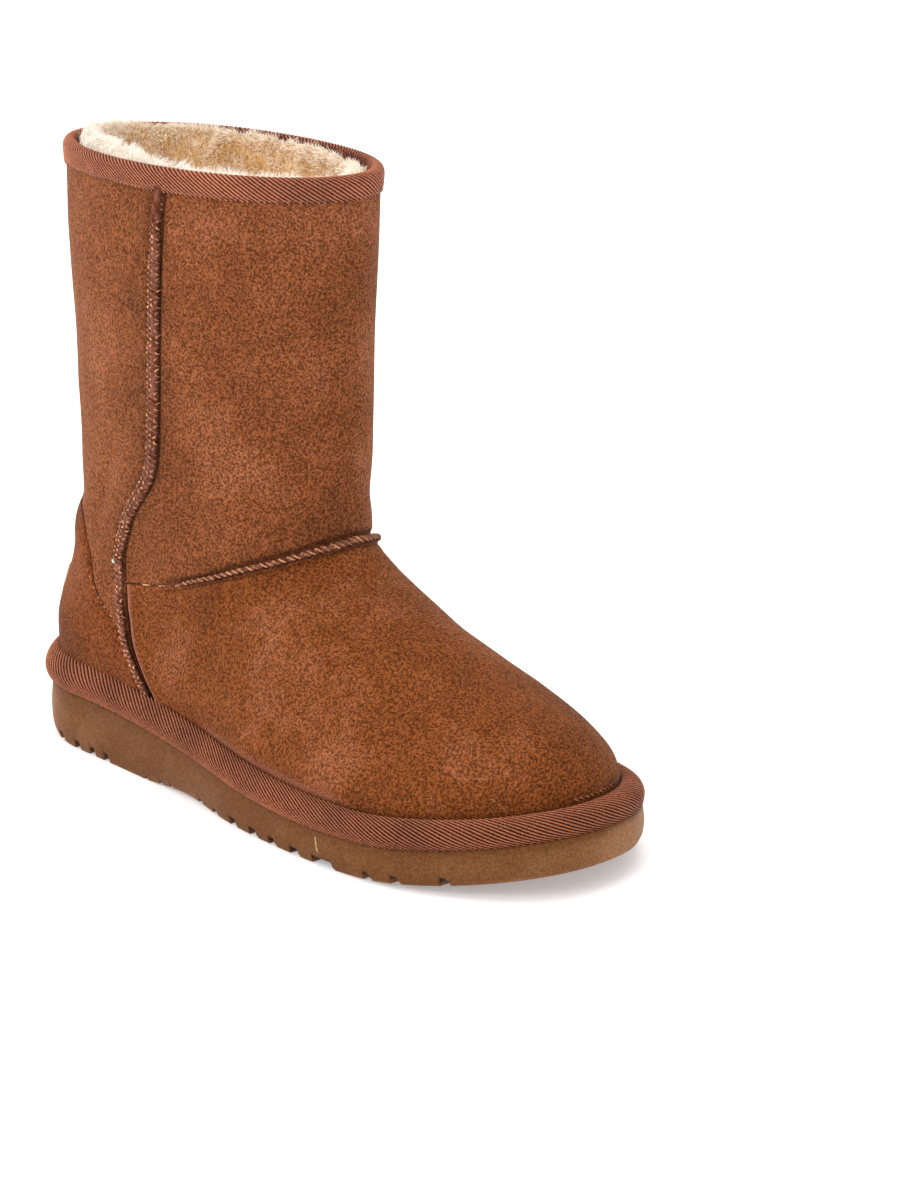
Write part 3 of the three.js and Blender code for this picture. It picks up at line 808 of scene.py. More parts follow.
class Tree:
    """Short way to write a node tree."""

    def __init__(self, tree: bpy.types.NodeTree) -> None:
        """Takes the tree to write to."""
        self.tree = tree

    def node(self, kind: str, settings: dict[str, object] | None = None, **inputs: object) -> Node:
        """Adds a node.

        Args:
            kind: Node type without its ShaderNode prefix.
            settings: Properties of the node.
            inputs: Values or sockets for its inputs, with _ for a space in a name.

        Returns:
            The node.
        """
        made = self.tree.nodes.new("ShaderNode" + kind)
        for key, value in (settings or {}).items():
            setattr(made, key, value)
        for key, value in inputs.items():
            self.put(made.inputs[key.replace("_", " ")], value)
        return made

    def put(self, socket: Socket, value: object) -> None:
        """Links a socket to an input, or sets the input's value.

        Args:
            socket: Input that gets it.
            value: A socket, a number or a colour.
        """
        if isinstance(value, Socket):
            self.tree.links.new(value, socket)
        elif isinstance(value, tuple) and len(value) == 3 and socket.type == "RGBA":
            socket.default_value = (*value, 1.0)
        else:
            socket.default_value = value

    def sum(self, operation: str, a: object, b: object = 0.0) -> Socket:
        """Adds a Math node and gives its result.

        Args:
            operation: What the node works out.
            a: First value or socket.
            b: Second value or socket.

        Returns:
            The result's socket.
        """
        made = self.node("Math", {"operation": operation})
        self.put(made.inputs[0], a)
        self.put(made.inputs[1], b)
        return made.outputs[0]

    def blend(self, share: object, a: object, b: object, kind: str = "MIX") -> Socket:
        """Adds a colour mix and gives its result.

        Args:
            share: Share of the second colour.
            a: First colour or socket.
            b: Second colour or socket.
            kind: How they are mixed.

        Returns:
            The result's socket.
        """
        made = self.node("Mix", {"data_type": "RGBA", "blend_type": kind})
        for index, value in ((0, share), (6, a), (7, b)):
            self.put(made.inputs[index], value)
        return made.outputs[2]

    def shade(self, colour: object, factor: object) -> Socket:
        """Adds nodes that multiply a colour by a number and gives the result."""
        grey = self.node("CombineColor", None, Red=factor, Green=factor, Blue=factor).outputs[0]
        return self.blend(1.0, colour, grey, "MULTIPLY")

    def span(self, value: object, low: float, high: float, to_low: float = 0.0,
             to_high: float = 1.0, soft: bool = True) -> Socket:
        """Maps a value from one range to another, with soft ends or straight, and holds it inside.

        Args:
            value: Value or socket.
            low: Start of its range.
            high: End of its range.
            to_low: Result at the start.
            to_high: Result at the end.
            soft: Soft ends.

        Returns:
            The result's socket.
        """
        made = self.node("MapRange", {"interpolation_type": "SMOOTHSTEP" if soft else "LINEAR"})
        for index, number in enumerate((value, low, high, to_low, to_high)):
            self.put(made.inputs[index], number)
        return made.outputs[0]

    def noise(self, vector: object, scale: object, detail: float = 2.0, roughness: float = 0.5,
              distortion: float = 0.0) -> Socket:
        """Adds a noise and gives its value."""
        made = self.node("TexNoise", None, Vector=vector, Scale=scale, Detail=detail, Roughness=roughness,
                         Distortion=distortion)
        return made.outputs["Fac"]

    def value(self, name: str) -> Socket:
        """Reads a named value of the mesh."""
        return self.node("Attribute", {"attribute_name": name}).outputs["Fac"]

    def place(self) -> Socket:
        """Gives the place in the boot's own frame, in metres."""
        return self.node("TexCoord").outputs["Object"]


def shader_group(name: str, inputs: dict[str, tuple[str, object]], outputs: dict[str, str],
                 write: Callable[[Tree, Node], dict[str, Socket]]
                 ) -> bpy.types.NodeTree:
    """Builds a node group once.

    Args:
        name: Name of the group.
        inputs: Socket type and value by input name.
        outputs: Socket type by output name.
        write: Writes the nodes from the group's input node and gives a socket for each output.

    Returns:
        The group.
    """
    if name in bpy.data.node_groups:
        return bpy.data.node_groups[name]
    group = bpy.data.node_groups.new(name, "ShaderNodeTree")
    for key, (kind, value) in inputs.items():
        socket = group.interface.new_socket(key, in_out="INPUT", socket_type=kind)
        if value is not None:
            socket.default_value = value
    for key, kind in outputs.items():
        group.interface.new_socket(key, in_out="OUTPUT", socket_type=kind)
    tree = Tree(group)
    results = write(tree, group.nodes.new("NodeGroupInput"))
    end = group.nodes.new("NodeGroupOutput")
    for key, socket in results.items():
        group.links.new(socket, end.inputs[key])
    return group


def write_nap(tree: Tree, start: Node) -> dict[str, Socket]:
    """Suede nap: two fine noises added, patches where the nap is brushed, and slow shades.

    Args:
        tree: The group's tree.
        start: Its input node.

    Returns:
        A socket for each output, from 0 to 1.
    """
    place, scale = start.outputs["Place"], start.outputs["Scale"]
    curls = tree.noise(place, scale, 0.0, 0.5, 0.4)
    fibres = tree.noise(place, tree.sum("MULTIPLY", scale, 1.4), 0.0, 0.5, 0.4)
    grain = tree.sum("ADD", tree.sum("MULTIPLY", curls, 0.5), tree.sum("MULTIPLY", fibres, 0.5))
    brushed = tree.noise(place, 130.0, 3.0, 0.6, 0.8)
    slow = tree.noise(place, 30.0, 3.0, 0.55, 0.6)
    return {
        "Grain": tree.span(grain, 0.37, 0.63, soft=False),
        "Brushed": tree.span(brushed, 0.3, 0.7, soft=False),
        "Slow": tree.span(slow, 0.3, 0.7, soft=False),
    }


def nap_group() -> bpy.types.NodeTree:
    """The suede nap, used by every suede finish."""
    return shader_group(
        "suede_nap",
        {"Place": ("NodeSocketVector", None), "Scale": ("NodeSocketFloat", 1000.0)},
        {"Grain": "NodeSocketFloat", "Brushed": "NodeSocketFloat", "Slow": "NodeSocketFloat"},
        write_nap,
    )


def write_streak(tree: Tree, start: Node) -> dict[str, Socket]:
    """Streak along the local x axis: 1 on the line, fading at its ends and sides, broken by noise.

    Args:
        tree: The group's tree.
        start: Its input node.

    Returns:
        A socket for the mask.
    """
    parts = tree.node("SeparateXYZ", None, Vector=start.outputs["Place"])
    ends = tree.sum("DIVIDE", tree.sum("ABSOLUTE", parts.outputs[0]), start.outputs["Half length"])
    off_face = tree.sum("MULTIPLY", tree.sum("POWER", parts.outputs[2], 2.0), 0.04)
    across = tree.sum("SQRT", tree.sum("ADD", tree.sum("POWER", parts.outputs[1], 2.0), off_face))
    sides = tree.sum("DIVIDE", across, start.outputs["Half width"])
    broken = tree.span(tree.noise(start.outputs["Place"], 900.0, 2.0), 0.3, 0.55)
    mask = tree.sum("MULTIPLY", tree.span(ends, 0.75, 1.0, 1.0, 0.0), tree.span(sides, 0.3, 1.0, 1.0, 0.0))
    return {"Mask": tree.sum("MULTIPLY", mask, broken)}


def streak_group() -> bpy.types.NodeTree:
    """The scratch or smear, used on suede and sole."""
    return shader_group(
        "streak",
        {"Place": ("NodeSocketVector", None), "Half length": ("NodeSocketFloat", 0.01),
         "Half width": ("NodeSocketFloat", 0.0005)},
        {"Mask": "NodeSocketFloat"},
        write_streak,
    )


@dataclass(frozen=True)
class Streak:
    """A scratch or smear between two places in the boot's millimetres, on a face that looks outward."""

    start: tuple[float, float, float]
    end: tuple[float, float, float]
    outward: tuple[float, float, float]
    half_width: float

    def mask(self, tree: Tree) -> Socket:
        """Adds the streak to a material and gives its mask.

        Args:
            tree: The material's tree.

        Returns:
            The mask's socket.
        """
        start, end = Vector(self.start), Vector(self.end)
        middle = (start + end) / 2 - Vector((LAST.heel_point, 0.0, 0.0))
        along = (end - start).normalized()
        across = Vector(self.outward).cross(along).normalized()
        turn = Matrix((along, across, along.cross(across))).transposed().to_euler()
        mapping = tree.node("Mapping", {"vector_type": "TEXTURE"}, Vector=tree.place(),
                            Location=tuple(middle * MM), Rotation=tuple(turn))
        group = tree.node("Group", {"node_tree": streak_group()}, Place=mapping.outputs[0],
                          Half_length=(end - start).length / 2 * MM, Half_width=self.half_width * MM)
        return group.outputs["Mask"]


def new_material(name: str, **fixed: object) -> tuple[Material, Tree, Node]:
    """Makes a material with a Principled shader.

    Args:
        name: Name of the material.
        fixed: Values for the shader's own sockets, with _ for a space in a name.

    Returns:
        The material, its tree and the shader.
    """
    material = bpy.data.materials.new(name)
    material.use_nodes = True
    tree = Tree(material.node_tree)
    shader = material.node_tree.nodes["Principled BSDF"]
    for key, value in fixed.items():
        tree.put(shader.inputs[key.replace("_", " ")], value)
    return material, tree, shader


def add_bump(tree: Tree, shader: Node, height: Socket, depth: float, strength: float = 1.0) -> None:
    """Feeds a height in millimetres of depth to the shader's normal."""
    bump = tree.node("Bump", None, Strength=strength, Distance=depth * MM, Height=height)
    tree.put(shader.inputs["Normal"], bump.outputs[0])


@dataclass(frozen=True)
class SuedeFinish:
    """Napped suede: base, vamp and pinker colours, a dark colour painted as shade, a lighter edge colour
    for raw edges and painted highlight, scratches, and its grain.
    """

    name: str
    shade: Colour
    vamp: Colour
    pink: Colour
    # deep is the dark colour painted as shade in grooves and creases; edge is the lighter colour of raw
    # edges, also used as painted highlight.
    deep: Colour
    edge: Colour = (0.36, 0.14, 0.1)
    grain: float = 0.86
    nap_scale: float = 1080.0
    streaks: tuple[Streak, ...] = ()
    scratch: Colour = (0.5, 0.24, 0.1)
    scratch_share: float = 0.38

    def material(self) -> Material:
        """Builds the material; it reads the mesh's vamp, lip, groove and tone values.

        Returns:
            The material.
        """
        material, tree, shader = new_material(self.name, Specular_IOR_Level=0.1, Sheen_Weight=0.16,
                                              Sheen_Roughness=0.3, Sheen_Tint=(1.0, 0.64, 0.42))
        nap = tree.node("Group", {"node_tree": nap_group()}, Place=tree.place(),
                        Scale=self.nap_scale).outputs
        colour = tree.blend(tree.value("vamp"), self.shade, self.vamp)
        tone = tree.value("tone")
        for name, reach in (("Slow", 0.5), ("Brushed", 0.35)):
            tone = tree.sum("ADD", tone, tree.span(nap[name], 0.0, 1.0, -reach, reach, soft=False))
        # The tone holds painted light and shade as well as the nap's patches, so the pinker blend and the
        # darkening below carry painted light and shade too.
        colour = tree.blend(tree.span(tone, 0.0, 1.2, 0.0, 0.75, soft=False), colour, self.pink)
        darker_nap_and_shade = tree.span(tone, -2.4, 0.0, 0.4, 1.0, soft=False)
        low, high = 1.0 - 0.5 * self.grain, 1.0 + self.grain
        grain = tree.span(nap["Grain"], 0.0, 1.0, low, high, soft=False)
        colour = tree.shade(tree.shade(colour, darker_nap_and_shade), grain)
        # The lip share gives the lighter edge colour: raw edges of the seams and painted highlight on panel
        # lips.
        colour = tree.blend(tree.sum("MULTIPLY", tree.value("lip"), 0.8), colour, self.edge)
        for streak in self.streaks:
            share = tree.sum("MULTIPLY", streak.mask(tree), self.scratch_share)
            colour = tree.blend(share, colour, self.scratch)
        # The groove share gives the dark colour: painted shade in grooves, creases and under seams.
        colour = tree.blend(tree.sum("MULTIPLY", tree.value("groove"), 0.93), colour, self.deep)
        tree.put(shader.inputs["Base Color"], colour)
        tree.put(shader.inputs["Roughness"], tree.span(nap["Grain"], 0.0, 1.0, 1.0, 0.82))
        add_bump(tree, shader, nap["Grain"], 0.3, 0.8)
        return material


@dataclass(frozen=True)
class TwillFinish:
    """Woven tape: colours of the ribs' crests and of their valleys, the valley colour being painted shade.
    """

    name: str
    crest: Colour
    valley: Colour

    def material(self) -> Material:
        """Builds the material; it reads the mesh's rib value.

        Returns:
            The material.
        """
        material, tree, shader = new_material(self.name, Specular_IOR_Level=0.12, Sheen_Weight=0.06,
                                              Sheen_Roughness=0.35, Sheen_Tint=(1.0, 0.8, 0.7))
        place = tree.place()
        fibres = tree.noise(place, 2600.0, 2.0, 0.6)
        slow = tree.span(tree.noise(place, 45.0, 2.0), 0.3, 0.7, 0.84, 1.14)
        rib = tree.sum("ADD", tree.value("rib"), tree.span(fibres, 0.3, 0.7, -0.3, 0.3))
        colour = tree.blend(tree.span(rib, 0.15, 1.05), self.valley, self.crest)
        colour = tree.shade(colour, slow)
        tree.put(shader.inputs["Base Color"], colour)
        tree.put(shader.inputs["Roughness"], tree.span(rib, 0.0, 1.0, 0.95, 0.62))
        add_bump(tree, shader, fibres, 0.12, 0.6)
        return material


@dataclass(frozen=True)
class FleeceFinish:
    """Sheepskin pile: colours at the tips, lower down, and in golden patches, and a faint glow in its own
    colour that is painted light.
    """

    name: str
    tips: Colour
    roots: Colour
    gold: Colour

    def material(self) -> Material:
        """Builds the material; it reads the mesh's tip and gold values.

        Returns:
            The material.
        """
        # The emission makes the wool glow faintly in its own colour: painted light.
        material, tree, shader = new_material(self.name, Specular_IOR_Level=0.05, Sheen_Weight=0.15,
                                              Sheen_Roughness=0.5, Roughness=1.0, Emission_Strength=0.15)
        place = tree.place()
        patches = tree.span(tree.noise(place, 90.0, 3.0, 0.6), 0.38, 0.62, -0.25, 0.25)
        golden = tree.span(tree.sum("ADD", tree.value("gold"), patches), 0.15, 0.85)
        under = tree.blend(golden, self.roots, self.gold)
        uneven = tree.span(tree.noise(place, 700.0, 2.0), 0.3, 0.7, -0.12, 0.12)
        tip = tree.sum("ADD", tree.value("tip"), uneven)
        colour = tree.blend(tree.span(tip, 0.25, 0.95), under, self.tips)
        tree.put(shader.inputs["Base Color"], colour)
        tree.put(shader.inputs["Emission Color"], colour)
        add_bump(tree, shader, tree.noise(place, 1400.0, 2.0), 0.3, 0.5)
        return material


@dataclass(frozen=True)
class RubberFinish:
    """Moulded foam rubber: base colour, a lighter colour for places of wear and of painted light, a dark
    colour painted as shade in grooves, and the colour of a smear.
    """

    name: str
    shade: Colour
    rubbed_and_lit: Colour
    streaks: tuple[Streak, ...] = ()
    # Dark colour painted as shade inside the tread grooves
    painted_pit_shade: Colour = (0.012, 0.006, 0.004)
    smear: Colour = (0.62, 0.45, 0.2)
    smear_share: float = 0.7

    def material(self) -> Material:
        """Builds the material; it reads the mesh's values of wear with painted light and shade, and of
        painted shade in grooves.

        Returns:
            The material.
        """
        material, tree, shader = new_material(self.name, Specular_IOR_Level=0.12)
        place = tree.place()
        cloud = tree.span(tree.noise(place, 38.0, 4.0, 0.6), 0.35, 0.68)
        pores = tree.noise(place, 1300.0, 1.0, 0.5)
        # Lighter in random patches, and by the mesh's value, which holds painted light and shade along with
        # wear.
        worn = tree.sum("ADD", tree.sum("MULTIPLY", cloud, 0.28), tree.value("worn"))
        colour = tree.blend(tree.span(worn, 0.0, 1.0), self.shade, self.rubbed_and_lit)
        # Painted shade inside the tread grooves.
        colour = tree.blend(tree.sum("MULTIPLY", tree.value("deep"), 0.92), colour, self.painted_pit_shade)
        tone = tree.span(pores, 0.36, 0.64, 0.76, 1.24, soft=False)
        colour = tree.shade(colour, tone)
        for streak in self.streaks:
            share = tree.sum("MULTIPLY", streak.mask(tree), self.smear_share)
            colour = tree.blend(share, colour, self.smear)
        tree.put(shader.inputs["Base Color"], colour)
        tree.put(shader.inputs["Roughness"], tree.span(cloud, 0.0, 1.0, 0.62, 0.5))
        add_bump(tree, shader, pores, 0.05, 0.5)
        return material


@dataclass(frozen=True)
class LeatherFinish:
    """Smooth undyed leather of the heel label."""

    name: str
    shade: Colour
    tan: Colour

    def material(self) -> Material:
        """Builds the material: pores, faint clouds and browner edges from the mesh's edge value.

        Returns:
            The material.
        """
        material, tree, shader = new_material(self.name, Specular_IOR_Level=0.4)
        place = tree.place()
        cloud = tree.span(tree.noise(place, 160.0, 3.0, 0.6), 0.35, 0.7, 0.0, 0.45)
        colour = tree.blend(tree.sum("MAXIMUM", cloud, tree.value("edge")), self.shade, self.tan)
        pores = tree.node("TexVoronoi", None, Vector=place, Scale=1500.0).outputs["Distance"]
        tree.put(shader.inputs["Base Color"], colour)
        tree.put(shader.inputs["Roughness"], tree.span(cloud, 0.0, 0.45, 0.5, 0.64))
        add_bump(tree, shader, pores, 0.06, 0.5)
        return material


@dataclass(frozen=True)
class ThreadFinish:
    """Sewing thread: its dark colour, and a lighter one painted as highlight."""

    name: str
    shade: Colour
    light: Colour

    def material(self) -> Material:
        """Builds the material; it reads the mesh's light value, the share of painted highlight, given to
        each stitch at random.

        Returns:
            The material.
        """
        material, tree, shader = new_material(self.name, Specular_IOR_Level=0.5, Roughness=0.5,
                                              Sheen_Weight=0.1)
        place = tree.place()
        fleck = tree.noise(place, 900.0, 1.0)
        share = tree.sum("MULTIPLY", tree.value("light"), tree.span(fleck, 0.35, 0.6, 0.5, 1.1))
        tree.put(shader.inputs["Base Color"], tree.blend(share, self.shade, self.light))
        add_bump(tree, shader, tree.noise(place, 3500.0, 1.0), 0.08, 0.5)
        return material


TOE_SCRATCH = Streak((250.0, -35.0, 40.0), (260.0, -28.0, 41.0), (0.6, -0.6, 0.55), 0.5)
TOE_MARK = Streak((262.0, -30.0, 35.0), (267.0, -26.0, 30.0), (0.75, -0.6, 0.3), 0.4)
SOLE_SMEAR = Streak((200.0, -57.9, 11.0), (202.1, -57.8, 4.8), (0.1, -1.0, 0.0), 0.55)

SUEDE = SuedeFinish("suede_chestnut", shade=(0.178, 0.0535, 0.0178), vamp=(0.16, 0.0435, 0.0098),
                    pink=(0.262, 0.089, 0.039), deep=(0.016, 0.003, 0.0015),
                    streaks=(TOE_SCRATCH, TOE_MARK))
COUNTER_SUEDE = SuedeFinish("suede_counter", shade=(0.146, 0.036, 0.0078), vamp=(0.146, 0.036, 0.0078),
                            pink=(0.205, 0.064, 0.022), deep=(0.028, 0.006, 0.003))
SEAM_SUEDE = SuedeFinish("suede_seam_edge", shade=(0.11, 0.0255, 0.0075), vamp=(0.11, 0.0255, 0.0075),
                         pink=(0.27, 0.077, 0.028), deep=(0.022, 0.006, 0.004), grain=0.6)
TWILL = TwillFinish("twill_tape", (0.42, 0.136, 0.062), (0.022, 0.005, 0.003))
COLLAR_TWILL = TwillFinish("twill_collar", (0.56, 0.2, 0.105), (0.06, 0.012, 0.007))
FLEECE = FleeceFinish("sheepskin_pile", (0.98, 0.9, 0.8), (0.78, 0.56, 0.34), (0.66, 0.4, 0.16))
RUBBER = RubberFinish("moulded_rubber", (0.142, 0.05, 0.012), (0.285, 0.127, 0.052), (SOLE_SMEAR,))
LABEL = LeatherFinish("label_leather", (0.78, 0.58, 0.44), (0.62, 0.4, 0.25))
THREAD = ThreadFinish("seam_thread", (0.12, 0.031, 0.01), (0.82, 0.37, 0.16))
GLUE = ThreadFinish("dried_glue", (0.62, 0.68, 0.5), (0.8, 0.84, 0.7))
LABEL_THREAD = ThreadFinish("label_thread", (0.2, 0.13, 0.06), (0.36, 0.25, 0.13))


# Sub-assemblies


@dataclass(frozen=True)
class SuedeUpper:
    """The suede of foot and shaft: one closed wall whose rows and columns follow its seams."""

    front_columns: int = 240
    back_columns: int = 112
    foot_rows: int = 112
    shaft_rows: int = 90
    inner_rows: int = 8

    def places(self) -> Pair:
        """Levels and turns of the outer face, with a column on each side seam and a row on the vamp's.

        Returns:
            Two arrays of rows by columns.
        """
        front = 2 * crowd(self.front_columns, 0.65) - 1
        back = crowd(self.back_columns + 2, 0.6)[1:-1]
        pivot = np.full(len(front), 8.5)
        for _ in range(8):
            pivot = VAMP_SEAM.read("level", np.abs(front) * SIDE_SEAM.read("turn", pivot))
        pivot = np.concatenate([pivot, np.full(len(back), pivot[-1])])
        even = np.linspace(0.0, 1.0, self.foot_rows)[:-1, None]
        foot = pivot * (even + 0.6 * np.sin(np.pi * even) / np.pi)
        even = np.linspace(0.0, 1.0, self.shaft_rows)[:, None]
        shaft = pivot + (LAST.collar_level - pivot) * (even - 0.45 * np.sin(np.pi * even) / np.pi)
        level = np.concatenate([foot, shaft])
        seam = SIDE_SEAM.read("turn", level)
        ahead = front * seam[:, :len(front)]
        behind = seam[:, len(front):]
        return level, np.concatenate([ahead, behind + (360 - 2 * behind) * back], 1)

    def dress(self) -> None:
        """Builds the wall: the dressed face outside, and the plain face moved in by its thickness."""
        level, turn = self.places()
        relief = SKIN.relief(level, turn)
        outside = LAST.off(level, turn, relief["height"])
        rows = np.linspace(len(level) - 1, 0, self.inner_rows).astype(int)
        inner_level, inner_turn = level[rows], turn[rows]
        inside = LAST.off(inner_level, inner_turn, -LAST.wall)
        masks = {name: np.concatenate([relief[name], np.zeros(inner_level.shape)])
                 for name in ("vamp", "lip", "groove", "tone")}
        surface = Surface()
        surface.grid(np.concatenate([outside, inside]), around=True, closed=True, **masks)
        piece = surface.build("suede_upper", SUEDE.material())
        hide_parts("upper")


@dataclass(frozen=True)
class HeelCounter:
    """Suede panel over the heel, with its S-shaped top edge and a row of stitches."""

    thickness: float = 1.2
    columns: int = 170
    rows: int = 56
    seam_gap: float = 2.9
    stitch_inset: float = 1.7
    stitch_drop: float = 0.18
    stitch_margin: float = 1.6

    def places(self, rows: Array) -> Pair:
        """Levels and turns between the tape and the top edge, from one side seam to the other.

        Args:
            rows: Shares of the way from the bottom to the top edge.

        Returns:
            Two arrays of rows by columns.
        """
        side = 2 * crowd(self.columns, 0.45) - 1
        start, end = COUNTER_TOP.keys[0], COUNTER_TOP.keys[-1]
        top = COUNTER_TOP.read("level", mix(end, start, np.abs(side)))
        level = mix(0.75, top, rows[:, None])
        seam = SIDE_SEAM.read("turn", level)
        step = np.linalg.norm(LAST.skin(level, seam + 1) - LAST.skin(level, seam - 1), axis=-1) / 2
        reach = 180 - seam - self.seam_gap / step
        return level, 180 - side * reach

    def edge_distance(self, points: Array) -> Array:
        """Millimetres from the top edge, measured down each column, and from the two front edges.

        Args:
            points: Rows by columns by 3.

        Returns:
            The least distance at each point.
        """
        down = np.cumsum(np.linalg.norm(np.diff(points[::-1], axis=0), axis=-1), axis=0)[::-1]
        down = np.concatenate([down, np.zeros((1, points.shape[1]))])
        across = np.cumsum(np.linalg.norm(np.diff(points, axis=1), axis=-1), axis=1)
        across = np.concatenate([np.zeros((points.shape[0], 1)), across], 1)
        return np.minimum(down, np.minimum(across, across[:, -1:] - across))

    def dress(self) -> None:
        """Builds the panel and its stitches."""
        even = np.linspace(0.0, 1.0, self.rows)
        level, turn = self.places(even + 0.5 * np.sin(np.pi * even) / np.pi)
        inset = self.edge_distance(LAST.skin(level, turn))
        groove = bell(inset, self.stitch_inset, 0.5)
        thick = self.thickness * (0.35 + 0.65 * smooth(inset / 8.0))
        rise = thick * (0.5 + 0.5 * round_end(inset / 0.9, 2.0)) - 0.25 * groove
        outer = SKIN.at(level, turn, rise)
        under = SKIN.at(level, turn, -0.6)
        surface = Surface()
        # Painted shade in the stitch groove, a painted shadow line along the top edge, and darker towards
        # the sole.
        dark = 0.35 * groove + 0.8 * bell(inset, 0.0, 0.35) + 0.15 * smooth((3.2 - level) / 2.2)
        surface.plate(outer, under, vamp=0.0, lip=0.0, groove=np.clip(dark, 0.0, 1.0),
                      tone=SKIN.tone(LAST.skin(level, turn)))
        piece = surface.build("counter_panel", COUNTER_SUEDE.material())
        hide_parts("heel_counter")
        self.stitch()

    def stitch(self) -> None:
        """Sews the panel down with short stitches along its top edge."""
        side = 2 * np.linspace(0.0, 1.0, 400) - 1
        start, end = COUNTER_TOP.keys[0], COUNTER_TOP.keys[-1]
        turn = 180 - side * (end - start - self.stitch_margin)
        level = COUNTER_TOP.read("level", np.abs(wrap(turn))) - self.stitch_drop
        points = SKIN.at(level, turn, 0.5 * self.thickness)
        row = StitchRow(pitch=2.5, length=1.3, radius=0.26)
        surface = Surface()
        row.sew(surface, points, LAST.normal(level, turn))
        piece = surface.build("counter_stitches", THREAD.material())


@dataclass(frozen=True)
class StitchRow:
    """A row of short stitches, each a small oval tube whose ends dip into the leather."""

    pitch: float
    length: float
    radius: float
    slant: float = 0.0
    # Strength of the painted highlight on the thread; each stitch gets a random share of it.
    light: float = 0.5

    def sew(self, surface: Surface, line: Array, ups: Array) -> None:
        """Adds the stitches along a line.

        Args:
            surface: Mesh that gets them.
            line: Points of the line, many to a stitch.
            ups: Upward direction at each point.
        """
        run = lengths_along(line)
        count = int(run[-1] // self.pitch)
        middle = (np.arange(count) + 0.5) * run[-1] / count
        t = np.linspace(-1.0, 1.0, 6)
        at = middle[:, None] + t * self.length / 2
        centres = follow(at, run, line)
        up = unit(follow(at, run, ups))
        side = unit(np.cross(np.gradient(centres, axis=1), up))
        centres = centres + side * (self.slant * t)[:, None]
        centres = centres + up * (self.radius * (0.9 - 1.9 * t ** 4))[:, None]
        width = self.radius * np.sqrt(1.0 - 0.75 * t ** 2)
        bright = self.light * np.random.default_rng(count).uniform(0.5, 1.5, (count, 1, 1))
        surface.tubes(tube_rings(centres, up, width, 0.8 * width, 5), light=bright)


# Forms of the seams from their start to their end: full width, height over the suede, and how far the
# ridge is moved sideways
SIDE_FORM = Table(
    "share width height shift",
    (0, 2.8, 1.2, 1.3), (0.12, 3, 1.4, 1.1), (0.2, 3.6, 1.5, 0.7), (0.28, 4.8, 1.7, 0.1),
    (0.45, 5.6, 1.9, 0), (0.86, 5.4, 1.8, 0), (0.93, 4.2, 1.9, 0.4), (1, 3.6, 2, 0.6),
)
BACK_FORM = Table(
    "share width height shift",
    (0, 4, 1.3, 0), (0.06, 5, 1.7, 0), (1, 5, 1.7, 0),
)
VAMP_FORM = Table(
    "share width height shift",
    (0, 0.9, 0.02, 0), (0.13, 0.9, 0.02, 0), (0.17, 1.8, 0.5, 0), (0.26, 2.4, 1, 0),
    (0.38, 2.6, 1.3, 0), (0.5, 3.3, 1.8, 0.2), (0.62, 2.6, 1.3, 0), (0.74, 2.4, 1, 0),
    (0.83, 1.8, 0.5, 0), (0.87, 0.9, 0.02, 0), (1, 0.9, 0.02, 0),
)


